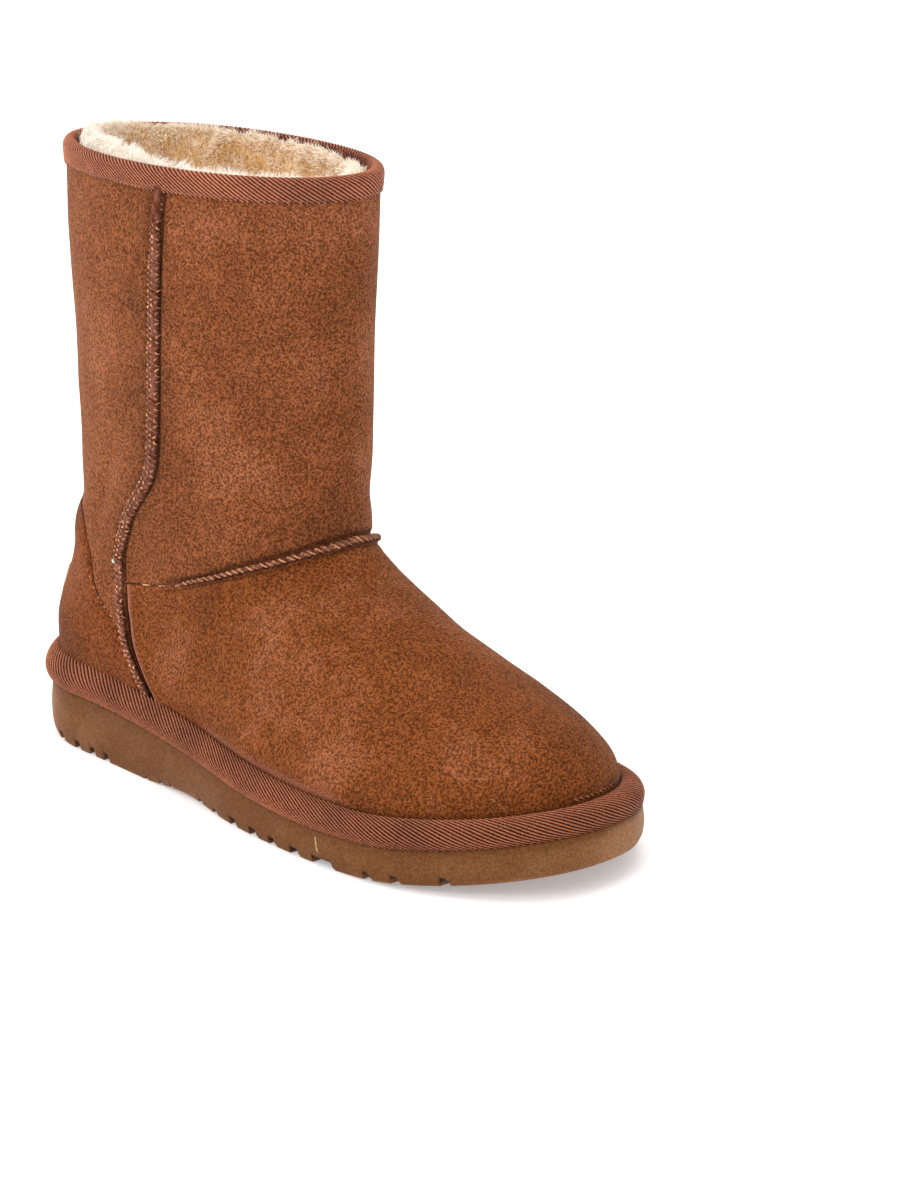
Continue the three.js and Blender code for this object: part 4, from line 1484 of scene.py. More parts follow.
@dataclass(frozen=True)
class RaisedSeam:
    """A raised seam: two suede edges sewn back to back, with thread whipped over them."""

    name: str
    node: str
    path: Path
    form: Table
    pitch: float = 2.2
    slant: float = 0.9
    thread: float = 0.15
    # Strength of the painted highlight on the whipped thread
    thread_light: float = 0.25
    bumps: tuple[float, ...] = (-0.78, -0.08, 0.66)
    bump_length: float = 1.25
    bump_radius: float = 0.4
    hand: float = 1.0
    reach: tuple[float, float] = (-0.9, 0.9)
    sewn: tuple[float, float] = (0.0, 1.0)
    # Painted shade on the ridge's side where across is positive, the lower side of the vamp seam.
    lip: float = 0.0
    stray: float = 0.1
    flat: float = -0.35

    def line(self, step: float) -> tuple[Array, ...]:
        """Even points along the seam with their directions.

        Args:
            step: Distance between the points.

        Returns:
            Length run, points, upward and sideways directions.
        """
        level, turn = self.path(np.linspace(0.0, 1.0, 600))
        run = lengths_along(LAST.skin(level, turn))
        even = np.linspace(0.0, run[-1], int(run[-1] / step) + 1)
        level, turn = np.interp(even, run, level), np.interp(even, run, turn)
        up = LAST.normal(level, turn)
        points = SKIN.at(level, turn, 0.0)
        side = self.hand * unit(np.cross(np.gradient(points, axis=0), up))
        return even, points, up, side

    def profile(self, across: Array, share: Array) -> Array:
        """Height over the skin across the seam: a half superellipse with a crease where the edges meet."""
        dome = (1 - np.abs(across) ** 2.6) ** 0.6
        return self.form.read("height", share) * (dome - 0.16 * bell(across, 0.3, 0.16))

    def ridge(self) -> Surface:
        """The two edges: a rounded rough bar that swells between the stitches and sinks into the skin.

        Returns:
            The mesh in the making.
        """
        run, points, up, side = self.line(0.5)
        share = (run / run[-1])[:, None]
        stand = mix(self.flat, 0.1, smooth(self.form.read("height", share) / 0.5))
        swell = 1 + 0.06 * np.cos(2 * np.pi * run / self.pitch)[:, None]
        across = np.sin(np.linspace(-0.5, 0.5, 13) * np.pi)
        top = self.profile(across, share) * swell + stand
        sunk = np.broadcast_to(-1.2, (len(run), 3))
        half = self.form.read("width", share) / 2 * swell
        wide = np.concatenate([across, (0.8, 0.0, -0.8)])[None] * half + self.form.read("shift", share)
        tall = np.concatenate([top, sunk], 1)
        rings = points[:, None] + side[:, None] * wide[..., None]
        rough = lattice_noise(rings, 1.1, 14) * np.concatenate([1 - across ** 4, np.zeros(3)])
        rings = rings + up[:, None] * (tall + 0.2 * rough)[..., None]
        surface = Surface()
        # Painted shade in the crease where the two edges meet, on the ridge's flanks, and on its lower
        # side; the pinkish lip share is the edges' own mottled colour.
        dark = 0.5 * bell(across, 0.3, 0.16) + 0.75 * np.abs(across) ** 5
        dark = np.concatenate([dark + self.lip * smooth((across - 0.1) / 0.3), np.ones(3)])
        pinkish = 0.35 + 0.6 * lattice_noise(rings, 1.6, 3)
        surface.tubes(rings[None], vamp=0.0, lip=np.clip(pinkish, 0, 1)[None],
                      groove=np.clip(dark - 0.3 * rough, 0, 1)[None])
        return surface

    def threads(self) -> Surface:
        """The thread: slanted tubes bent over the ridge, and short loops that stand out in columns.

        Returns:
            The mesh in the making.
        """
        run, points, up, side = self.line(0.25)
        count = int(run[-1] // self.pitch)
        middle = (np.arange(count) + 0.5) * run[-1] / count
        rng = np.random.default_rng(len(self.name))

        def lay(at: Array, across: Array, lift: Numbers) -> Pair:
            """Puts places given along and across the seam on its surface.

            Args:
                at: Places along the seam.
                across: Places across it, from -1 to 1.
                lift: Height over it.

            Returns:
                Points and the upward directions there.
            """
            share = at / run[-1]
            middle_line, above, aside = (follow(at, run, line) for line in (points, up, side))
            wide = across * self.form.read("width", share) / 2 * 1.04 + self.form.read("shift", share)
            height = self.profile(np.clip(across, -1, 1), share) + 0.1 + lift
            return middle_line + aside * wide[..., None] + above * height[..., None], above

        surface = Surface()
        t = np.linspace(-1.0, 1.0, 9)
        whipped = middle[(middle > self.sewn[0] * run[-1]) & (middle < self.sewn[1] * run[-1])]
        whipped = whipped + rng.normal(0, self.stray, len(whipped))
        across = np.broadcast_to(mix(*self.reach, (np.sin(t * np.pi / 2) + 1) / 2), (len(whipped), 9))
        line, above = lay(np.clip(whipped[:, None] + self.slant * t, 0, run[-1]), across,
                          self.thread * (0.45 - 1.2 * t ** 8))
        loose = 1 + rng.normal(0, 0.1, (len(whipped), 1))
        surface.tubes(tube_rings(line, above, self.thread * loose, self.thread * 0.8, 6),
                      light=self.thread_light * rng.uniform(0.2, 1.5, len(whipped))[:, None, None])
        t = np.linspace(-1.0, 1.0, 5)
        for number, column in enumerate(self.bumps):
            size = rng.uniform(0.55, 1.15, count)
            start = middle + self.pitch * (0.36 * number - 0.3) + rng.normal(0, 0.2, count)
            at = start[:, None] + 0.5 * self.bump_length * size[:, None] * t
            across = column + 0.16 * t * np.where(np.arange(count) % 2, 1, -1)[:, None]
            share = at / run[-1]
            sunk = 1.2 * ((share < self.sewn[0]) | (share > self.sewn[1]))
            lift = self.bump_radius * (0.55 - 1.3 * t ** 2) - sunk
            line, above = lay(np.clip(at, 0, run[-1]), across + rng.normal(0, 0.06, (count, 1)), lift)
            width = self.bump_radius * size[:, None] * np.sqrt(1 - 0.7 * t ** 2)
            surface.tubes(tube_rings(line, above, width, 0.8 * width, 5),
                          light=rng.uniform(0.1, 1.0, count)[:, None, None])
        return surface

    def dress(self, suede: Material, thread: Material) -> None:
        """Builds the ridge and its thread.

        Args:
            suede: Material of the edges.
            thread: Material of the thread.
        """
        ridge = self.ridge().build(self.name, suede)
        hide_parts(self.node)
        self.threads().build(self.name + "_thread", thread)


def side_path(side: Side) -> Path:
    """Path of a side seam from the sole's tape to the collar's.

    Args:
        side: Side of the boot.

    Returns:
        A function that gives levels and turns for shares of the way.
    """
    def path(share: Array) -> Pair:
        """Levels rise evenly, and the turn follows from them."""
        level = mix(LAST.binding_level - 0.15, LAST.tape_level + 0.1, share)
        return level, side.value * SIDE_SEAM.read("turn", level)
    return path


def vamp_path(share: Array) -> Pair:
    """Path of the vamp seam from one side seam over the instep to the other."""
    turn = mix(112.5, -112.5, share)
    return VAMP_SEAM.read("level", np.abs(turn)), turn


def back_path(share: Array) -> Pair:
    """Path of the back seam from the counter to the collar's tape."""
    level = mix(COUNTER_TOP.read("level", 180.0) - 0.05, LAST.tape_level + 0.1, share)
    return level, np.full(len(share), 180.0)


SEAMS = (
    RaisedSeam("side_seam_outer", "seam_outer", side_path(Side.OUTER), SIDE_FORM, hand=-1.0,
               sewn=(0.0, 0.94)),
    RaisedSeam("side_seam_inner", "seam_inner", side_path(Side.INNER), SIDE_FORM, hand=1.0,
               sewn=(0.0, 0.94)),
    RaisedSeam("back_seam", "seam_back", back_path, BACK_FORM),
    RaisedSeam("vamp_seam", "seam_vamp", vamp_path, VAMP_FORM, pitch=2.75, slant=1.5, thread=0.24,
               thread_light=0.7, bumps=(-0.75, -0.2), bump_length=1.3, bump_radius=0.22, reach=(-1.0, 0.3),
               sewn=(0.16, 0.84), lip=0.55, stray=0.28),
)


@dataclass(frozen=True)
class TwillTape:
    """Shared making of woven tape: a loop of diagonal ribs whose columns lean with the ribs."""

    rib_pitch: float = 2.6
    rib_height: float = 0.5
    rib_lean: float = 1.3
    samples: int = 5

    def loop(self, ring: Callable[[Array], Array], drops: Array) -> Pair:
        """Turns for leaning columns round the boot, and each column's place on its rib.

        Args:
            ring: Gives points for turns in degrees.
            drops: For each row, how far it lies along the tape's section.

        Returns:
            Turns by row and column, and the rib height from 0 to 1 by column.
        """
        fine = np.linspace(0.0, 360.0, 2881)
        run = lengths_along(ring(fine))
        ribs = round(run[-1] / self.rib_pitch)
        columns = np.arange(ribs * self.samples)
        even = columns * run[-1] / len(columns)
        lean = (even + self.rib_lean * drops[:, None]) % run[-1]
        turns = np.interp(lean, run, fine)
        return turns, 0.5 - 0.5 * np.cos(2 * np.pi * (columns % self.samples) / self.samples)

    def ribbed(self, points: Array, rib: Array, shown: Array) -> Array:
        """Raises the ribs on a closed loop of tape, whose own normals point inwards.

        Args:
            points: Rows by columns by 3, a closed section in the rows.
            rib: Rib height from 0 to 1 by column.
            shown: Share of the rib by row, 0 where the tape is hidden.

        Returns:
            The points with their ribs.
        """
        lift = self.rib_height * rib * shown[:, None]
        return points - grid_normals(points, closed=True) * lift[..., None]


# Section of the tape roll along the sole: way round it, height as a share of its own height, how far
# it stands out of the sole's plan, and how far it has leaned over to the upper
BINDING_ROLL = Table(
    "way height out leaned",
    (0, -0.02, -0.5, 0), (0.06, 0, 0.2, 0), (0.25, 0.17, 0.9, 0), (0.45, 0.43, 1.05, 0),
    (0.65, 0.71, 0.7, 0.12), (0.82, 0.9, 0.25, 0.4), (0.93, 0.98, 0.1, 0.76), (1, 0.93, 0, 1.06),
)


@dataclass(frozen=True)
class SoleTape(TwillTape):
    """The thick tape roll between the upper and the sole."""

    bulge: float = 2.2
    toe_bulge: float = 0.5
    section: float = 21.0
    outer_rows: int = 19
    inner_levels: tuple[float, ...] = (0.85, 0.4, 0.02)
    sunk: float = 0.5

    def dress(self, material: Material) -> None:
        """Builds the roll: outside over its bulge, then back down the upper underneath.

        Args:
            material: The twill.
        """
        way = np.linspace(0.0, 1.0, self.outer_rows)
        inner_levels = np.array(self.inner_levels)
        drops = np.concatenate([way * self.section, self.section + np.array([0.5, 1.0, 1.5])])
        turns, rib = self.loop(lambda turn: LAST.plan_point(turn, self.bulge), drops)
        outer_turns = turns[:self.outer_rows]
        roll = {name: BINDING_ROLL.read(name, way)[:, None] for name in BINDING_ROLL.columns}
        along = (1 + np.cos(np.radians(outer_turns))) / 2
        bulge = mix(self.bulge, self.toe_bulge, smooth((along - 0.45) / 0.45))
        edge = LAST.plan_point(outer_turns, roll["out"] * bulge)
        top = SKIN.at(np.full(outer_turns.shape, LAST.binding_level), outer_turns, 0.35)
        outside = mix(edge, top, roll["leaned"][..., None])
        foot = LAST.sole_top(outside[..., 0]) + 0.1
        head = LAST.section_height(np.full(outer_turns.shape, LAST.binding_level), outside[..., 0])
        outside[..., 2] = mix(foot, head, roll["height"])
        inside = LAST.off(inner_levels[:, None], turns[self.outer_rows:], -self.sunk)
        points = np.concatenate([outside, inside])
        shown = np.concatenate([smooth(way / 0.05) * smooth((1 - way) / 0.04), np.zeros(len(inner_levels))])
        points = self.ribbed(points, rib, shown)
        # Painted shade: the rib value darkens towards the roll's lower edge.
        shade = rib * shown[:, None] * (0.55 + 0.45 * smooth(np.append(way, [1, 1, 1]) / 0.2))[:, None]
        surface = Surface()
        surface.grid(points, around=True, closed=True, rib=shade)
        piece = surface.build("sole_tape_roll", material)
        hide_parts("sole_binding")


# Section of the collar's tape from its outer lower edge over the rim to its inner lower edge:
# distance out of the upper's face, and height over the collar
COLLAR_FOLD = Table(
    "way out rise",
    (0, 0.1, -7.7), (0.035, 0.75, -7.5), (0.1, 0.85, -6.4), (0.2, 0.85, -4.4), (0.3, 1.05, -2.2),
    (0.39, 0.95, -0.5), (0.47, 0.2, 0.8), (0.54, -1.2, 1.35), (0.62, -3.1, 0.9), (0.71, -4.4, -0.8),
    (0.82, -4.9, -3.2), (0.95, -4.6, -6.5), (1, -3.6, -7.2),
)


@dataclass(frozen=True)
class CollarTape(TwillTape):
    """The tape folded over the rim of the shaft, with a row of stitches near its lower edge."""

    section: float = 24.0
    rows: int = 27
    rib_pitch: float = 2.15
    rib_height: float = 0.4
    stitch_rise: float = -6.7
    stitch_dent: float = 0.45
    pucker: float = 0.12

    def points(self, out: Array, rise: Array, turn: Array) -> Array:
        """Points at a distance out of the collar's face and a height over the collar.

        Args:
            out: Distances.
            rise: Heights, negative below the collar.
            turn: Turns in degrees.

        Returns:
            Array that ends in 3.
        """
        level = LAST.collar_level + np.clip(rise, -TAPE_DEPTH, 0.0) / TAPE_DEPTH
        level, turn = np.broadcast_arrays(level, turn)
        flat = LAST.normal(np.full(level.shape, LAST.tape_level + 0.5), turn)
        flat[..., 2] = 0.0
        made = LAST.skin(level, turn) + unit(flat) * (out + SKIN.soft(level, turn))[..., None]
        made[..., 2] = LAST.heel_thickness + LAST.clearance + LAST.collar_height + rise
        return made

    def dress(self, material: Material, thread: Material) -> None:
        """Builds the fold and the stitches.

        Args:
            material: The twill.
            thread: The thread.
        """
        way = np.linspace(0.0, 1.0, self.rows)
        out, rise = (COLLAR_FOLD.read(name, way)[:, None] for name in ("out", "rise"))
        turns, rib = self.loop(lambda turn: LAST.skin(LAST.collar_level, turn), way * self.section)
        pucker = self.pucker * np.sin(turns * 4.1) * bell(way, 0.05, 0.06)[:, None]
        dent = self.stitch_dent * bell(rise, self.stitch_rise, 0.6)
        points = self.points(out + pucker - dent, rise, turns)
        shown = smooth(way / 0.05) * smooth((1 - way) / 0.05)
        points = self.ribbed(points, rib, shown)
        surface = Surface()
        # Painted shade: the ribs on the tape's inner face get less of the crest colour.
        inside = 1 - 0.6 * smooth((way - 0.56) / 0.12)
        surface.grid(points, around=True, closed=True, rib=rib * (shown * inside)[:, None])
        piece = surface.build("collar_tape", material)
        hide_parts("collar_binding")
        turn = np.linspace(0.0, 360.0, 1441)
        line = self.points(np.full(turn.shape, 0.62), np.full(turn.shape, self.stitch_rise), turn)
        ups = LAST.normal(np.full(turn.shape, LAST.tape_level + 0.1), turn)
        surface = Surface()
        StitchRow(pitch=2.3, length=1.6, radius=0.25, light=0.18).sew(surface, line, ups)
        surface.build("collar_stitches", thread)


# Fleece inside the upper: way from under the collar's tape to the footbed, distance in from the
# upper's face, level, and how much of the rim's rise it takes
FLEECE_LINE = Table(
    "way depth level swell",
    (0, 3.4, 13.9, 0), (0.05, 5.6, 14.2, 0.5), (0.11, 7.8, 14.45, 1), (0.17, 9.4, 14.3, 0.8),
    (0.3, 10, 13.5, 0), (0.5, 9.2, 12, 0), (0.7, 8.6, 10, 0), (0.85, 7.4, 5, 0),
    (0.95, 5.6, 1.4, 0), (1, 4.2, 0.35, 0),
)

# How far the fleece rises at the rim, round the collar
FLEECE_RIM = Table(
    "turn rise",
    (0, 0.6), (30, 0.8), (60, 1.2), (85, 2.2), (105, 5.5), (120, 7.5), (140, 7.0), (165, 4.6),
    (190, 3.4), (215, 3.0), (250, 2.6), (285, 1.6), (315, -0.2), (340, 0.0), (360, 0.6),
)


@dataclass(frozen=True)
class FleeceLining:
    """The sheepskin's wool inside the boot: a lumpy coat, curly locks on it, and the footbed."""

    columns: int = 300
    rows: int = 120
    hidden_rows: int = 36
    locks: int = 12800
    wisps: int = 14000
    rim_locks: int = 9000
    seed: int = 11
    white_side: float = -8.0

    def coat(self, way: Array, turn: Array) -> Pair:
        """Points of the wool's face and its directions into the boot.

        Args:
            way: Places down the fleece, from 0 under the tape to 1 at the footbed.
            turn: Turns in degrees.

        Returns:
            Points and unit vectors, arrays that end in 3.
        """
        depth, level, swell = (FLEECE_LINE.read(name, way) for name in ("depth", "level", "swell"))
        level = np.clip(level, 0.0, LAST.collar_level)
        normal = LAST.normal(level, turn)
        base = LAST.skin(level, turn) - normal * depth[..., None]
        base[..., 2] += swell * FLEECE_RIM.read("rise", turn)
        lumps = 1.5 * lattice_noise(base, 9.0, 21) + 1.1 * lattice_noise(base, 4.0, 22) \
            + 0.5 * lattice_noise(base, 2.0, 23)
        lumps = lumps * smooth(way / 0.05) * smooth((1 - way) / 0.03)
        return base - normal * lumps[..., None], -normal

    def near(self, points: Array) -> Array:
        """Share of white wool: on the outer side's half of the opening."""
        return smooth((self.white_side - points[..., 1]) / 14.0)

    def gold(self, points: Array) -> Array:
        """Share of golden wool: more of it deeper down, less at the rim.

        Args:
            points: Array that ends in 3.

        Returns:
            Shares from 0 to 1.
        """
        below = LAST.heel_thickness + LAST.collar_height - points[..., 2]
        streaks = lattice_noise(points * np.array([1.0, 1.0, 0.25]), 3.0, 32)
        near = self.near(points) + bell(below, -2.5, 3.5)
        golden = 0.62 + 0.03 * below + 0.45 * lattice_noise(points, 22.0, 31) + 0.18 * streaks - 0.9 * near
        return np.clip(golden, 0.0, 1.0)

    def dress(self, material: Material) -> None:
        """Builds the coat, its locks and the footbed.

        Args:
            material: The wool.
        """
        way = np.concatenate([np.linspace(0.0, 0.4, 62), np.linspace(0.4, 1.0, self.rows - 61)[1:]])
        turn = np.linspace(0.0, 360.0, self.columns + 1)[:-1]
        way, turn = np.meshgrid(way, turn, indexing="ij")
        inside, _ = self.coat(way, turn)
        hidden = np.linspace(0.35, 13.8, self.hidden_rows)[:, None] + 0 * turn[:1]
        outside = LAST.off(hidden, turn[:1], 0.4 - LAST.wall)
        points = np.concatenate([inside, outside])
        hollow = lattice_noise(inside, 4.0, 22) * 0.5 + 0.5
        tip = 0.7 - 0.6 * hollow + 0.4 * self.near(inside)
        surface = Surface()
        surface.grid(points, around=True, closed=True, gold=self.gold(points),
                     tip=np.concatenate([tip, np.zeros(hidden.shape)]))
        piece = surface.build("fleece_lining", material)
        rng = np.random.default_rng(self.seed)
        piles = (
            ("fleece_locks", self.locks, (0.04, 0.5), (2.4, 4.8), (0.26, 0.46), 0.4),
            ("fleece_wisps", self.wisps, (0.05, 0.42), (2.6, 5.2), (0.1, 0.2), 0.55),
            ("fleece_rim_fuzz", self.rim_locks, (0.03, 0.15), (2.0, 4.4), (0.1, 0.2), 0.45),
        )
        for name, *sizes in piles:
            self.pile(name, material, rng, *sizes)
        self.footbed(material)

    def pile(self, name: str, material: Material, rng: np.random.Generator, count: int,
             ways: tuple[float, float], lengths: tuple[float, float], widths: tuple[float, float],
             stray: float) -> None:
        """Scatters curly locks over a part of the fleece: three-sided spikes, the wide ones bent.

        Args:
            name: Name of the piece.
            material: The wool.
            rng: Source of randomness.
            count: How many locks.
            ways: Part of the fleece that they grow on.
            lengths: Shortest and longest.
            widths: Half widths at the root, thinnest and thickest.
            stray: How far they lean at random.
        """
        way = ways[0] + (ways[1] - ways[0]) * rng.random(count) ** 1.15
        turn = rng.uniform(0.0, 360.0, count)
        roots, inward = self.coat(way, turn)
        lean = inward + np.array([0.0, 0.0, 1.0]) * (0.1 + 1.5 * np.exp(-way / 0.1))[:, None]
        curl = np.stack([lattice_noise(roots, 3.2, 40 + i) for i in range(3)], -1)
        bend = np.stack([lattice_noise(roots, 5.5, 50 + i) for i in range(3)], -1)
        head = unit(lean + 0.6 * curl + rng.normal(0, stray, lean.shape))
        length = rng.uniform(*lengths, count)[:, None, None]
        t = np.array([0.0, 0.55, 1.0]) if widths[1] > 0.3 else np.array([0.0, 1.0])
        line = (roots - inward * 0.5)[:, None] + length * (head[:, None] * t[:, None]
                                                         + bend[:, None] * 0.5 * (t ** 2)[:, None])
        thick = rng.uniform(*widths, count)[:, None] * (1.0 - 0.85 * t ** 1.5)
        up = np.broadcast_to(unit(np.array([0.31, 0.2, 0.93])), line.shape)
        rings = tube_rings(line, up, thick, thick, 3)
        surface = Surface()
        white = 0.6 * self.near(rings)
        surface.tubes(rings, tip=(0.14 + 0.68 * t)[None, :, None] + white, gold=self.gold(rings))
        surface.build(name, material)

    def footbed(self, material: Material) -> None:
        """Builds the wool over the footbed: a lumpy plate from side to side of the inside.

        Args:
            material: The wool.
        """
        thickness, rows, columns = 4.0, 120, 44
        inset = LAST.wall + 0.3
        along = np.linspace(2.0, 178.0, rows)
        share = np.linspace(-1.0, 1.0, columns)
        outer = LAST.off(0.0, along, -inset)
        inner = LAST.off(0.0, -along, -inset)
        plan = mix(outer[:, None], inner[:, None], (share[:, None] + 1) / 2)
        floor = LAST.sole_top(plan[..., 0]) + 0.2
        lumps = 0.9 * lattice_noise(plan, 8.0, 61) + 0.6 * lattice_noise(plan, 3.5, 62)
        top, low = plan.copy(), plan.copy()
        top[..., 2] = floor + thickness + lumps * (1 - np.abs(share) ** 8)
        low[..., 2] = floor
        surface = Surface()
        surface.plate(top, low, tip=0.5 + 0.5 * lattice_noise(plan, 3.5, 62), gold=0.75)
        piece = surface.build("fleece_footbed", material)
        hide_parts("insole")


@dataclass(frozen=True)
class MouldedSole:
    """The outsole: side wall, top and a tread with cross grooves and small ripples."""

    side_bulge: float = 0.9
    edge_radius: float = 0.7
    groove_depth: float = 2.6
    groove_width: float = 3.2
    wall_slope: float = 0.35
    ripple_depth: float = 0.5
    ripple_pitch: float = 5.2
    zigzag_width: float = 9.0
    zigzag_depth: float = 5.0
    wall_rows: int = 15
    tread_rows: int = 48
    top_rows: int = 8

    def turns(self) -> Array:
        """Turns from toe to heel, evenly spread, with extra ones at the walls of every groove.

        Returns:
            Turns in degrees, in order.
        """
        share = [(1 + np.cos(np.radians(np.linspace(0.0, 180.0, 150)))) / 2, np.linspace(0.004, 0.996, 230)]
        for centre, width, *_ in TREAD_GROOVES + TREAD_DENTS:
            half = width * self.groove_width / 2
            for step in (-half - self.wall_slope, -half, half, half + self.wall_slope):
                share.append(np.array([centre + step / LAST.outsole_length]))
        every = np.unique(np.round(np.concatenate(share), 5))
        every = every[np.append(True, np.diff(every) > 0.0004)]
        return np.degrees(np.arccos(np.clip(2 * every[::-1] - 1, -1.0, 1.0)))

    def tread(self, x: Array) -> Array:
        """Height of the tread: its plain height, and in a groove the groove's roof.

        Args:
            x: Places along the boot.

        Returns:
            Heights in millimetres.
        """
        plain = LAST.tread_height(x)
        for centre, width in TREAD_GROOVES:
            middle = centre * LAST.outsole_length
            half = width * self.groove_width / 2
            inside = 1 - smooth((np.abs(x - middle) - half) / self.wall_slope)
            roof = self.groove_depth + LAST.tread_height(np.array(middle))
            plain = plain + np.maximum(roof - plain, 0.0) * inside
        for centre, width, depth in TREAD_DENTS:
            half = width * self.groove_width / 2
            plain = plain + depth * (1 - smooth((np.abs(x - centre * LAST.outsole_length) - half)
                                                / self.wall_slope))
        return plain

    def depth(self, x: Array) -> Array:
        """Share of a place that lies in a groove, where the tread is above its plain height."""
        return smooth((self.tread(x) - LAST.tread_height(x)) / 1.2)

    def dress(self, material: Material) -> None:
        """Builds side wall, tread and top as sheets that share their edges, and welds them.

        Args:
            material: The rubber.
        """
        half = self.turns()
        loop = np.concatenate([half, 360 - half[-2:0:-1]])
        height = np.linspace(0.0, 1.0, self.wall_rows) ** 1.3
        grow = (SOLE_SIDE.read("bulge", height) * self.side_bulge
                + SOLE_SIDE.read("edge", height) * self.edge_radius)
        wall = LAST.plan_point(loop, grow[:, None])
        x = wall[..., 0]
        cut = (self.tread(x) - LAST.tread_height(x)) * (1 - height[:, None]) ** 5
        wall[..., 2] = mix(LAST.tread_height(x), LAST.sole_top(x), height[:, None]) + cut
        surface = Surface()
        # Painted shade inside the tread grooves, where they cut into the wall.
        deep = self.depth(x) * smooth(1.2 - (wall[..., 2] - self.tread(x)) / 1.2)
        turn = wrap(loop)
        # Painted light at the toe's inner end and along the outer side of the heel, painted shade at the
        # top of the wall under the tape roll, and lighter along the bottom edge.
        ends = (1.1 * bell(turn, -22.0, 24.0) + 0.75 * bell(turn, 162.0, 24.0)
                + 0.15 * bell(turn, 20.0, 40.0))
        under = 0.35 * smooth((height - 0.72) / 0.28)[:, None]
        foot = 0.3 * smooth(1 - height / 0.12)[:, None]
        worn = foot + ends * bell(height, 0.45, 0.5)[:, None] - under
        surface.grid(wall, around=True, deep=deep, worn=worn)
        count = len(half)
        mirror = np.concatenate([[0], np.arange(len(loop) - 1, count - 2, -1)])
        for row, is_tread in ((0, True), (-1, False)):
            share = np.linspace(0.0, 1.0, self.tread_rows if is_tread else self.top_rows)[:, None]
            sheet = mix(wall[row, :count], wall[row, mirror], share[..., None])
            if is_tread:
                x, y = sheet[..., 0], sheet[..., 1]
                zigzag = np.abs((y / self.zigzag_width) % 2 - 1) * self.zigzag_depth
                wave = smooth(np.sin(2 * np.pi * (x + zigzag) / self.ripple_pitch) * 2 - 0.6)
                inside = smooth(np.minimum(share, 1 - share) / 0.12)
                sheet[..., 2] += self.ripple_depth * wave * inside
            surface.grid(sheet, worn=0.3 if is_tread else 0.0, deep=self.depth(sheet[..., 0]))
        piece = surface.build("moulded_sole", material, weld=True)
        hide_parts("outsole")


@dataclass(frozen=True)
class HeelLabel:
    """The small leather label on the heel, left bare, with a stitched border."""

    width: float = 42.0
    height: float = 20.0
    rise: float = 22.0
    thickness: float = 1.2
    inset: float = 2.6
    under: float = 1.0
    columns: int = 90
    rows: int = 50

    def find(self, y: Array, z: Array) -> Pair:
        """Level and turn of the skin's points at given places across the heel, by Newton's steps.

        Args:
            y: Places across.
            z: Heights.

        Returns:
            Levels and turns.
        """
        level, turn = np.full(y.shape, 4.0), 180 + y * 1.2
        step = 0.05
        for _ in range(12):
            here = LAST.skin(level, turn)
            by_level = (LAST.skin(level + step, turn) - here) / step
            by_turn = (LAST.skin(level, turn + step) - here) / step
            miss_y, miss_z = y - here[..., 1], z - here[..., 2]
            area = by_level[..., 1] * by_turn[..., 2] - by_turn[..., 1] * by_level[..., 2]
            level = level + 0.8 * (miss_y * by_turn[..., 2] - by_turn[..., 1] * miss_z) / area
            turn = turn + 0.8 * (by_level[..., 1] * miss_z - miss_y * by_level[..., 2]) / area
        return level, turn

    def dress(self, material: Material, thread: Material) -> None:
        """Builds the label and the stitches of its border.

        Args:
            material: The leather.
            thread: The thread.
        """
        across, above = np.meshgrid(2 * crowd(self.columns, 0.5) - 1, 2 * crowd(self.rows, 0.5) - 1)
        corner = 1 - 0.012 * (across * above) ** 12
        y, up = across * corner * self.width / 2, above * corner * self.height / 2
        z = LAST.heel_thickness + self.rise + self.height / 2 + up
        level, turn = self.find(y, z)
        edge = np.minimum(self.width / 2 - np.abs(y), self.height / 2 - np.abs(up))
        border = bell(edge, self.inset, 0.5)
        rise = self.under + self.thickness * (0.55 + 0.45 * round_end(edge / 0.7, 2.0)) - 0.22 * border
        outer = SKIN.at(level, turn, rise)
        low = SKIN.at(level, turn, self.under - 0.7)
        surface = Surface()
        surface.plate(outer, low, edge=np.clip(bell(edge, 0.0, 0.45) + 0.35 * border, 0, 1))
        piece = surface.build("heel_label", material)
        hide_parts("heel_patch")
        half_y, half_z = self.width / 2 - self.inset, self.height / 2 - self.inset
        corners = np.array([(-half_y, -half_z), (half_y, -half_z), (half_y, half_z), (-half_y, half_z),
                            (-half_y, -half_z)])
        run = lengths_along(corners)
        even = np.linspace(0.0, run[-1], 700)
        y, up = follow(even, run, corners).T
        level, turn = self.find(y, LAST.heel_thickness + self.rise + self.height / 2 + up)
        line = SKIN.at(level, turn, self.under + self.thickness - 0.2)
        surface = Surface()
        StitchRow(pitch=2.0, length=1.1, radius=0.24).sew(surface, line, LAST.normal(level, turn))
        surface.build("label_stitches", thread)


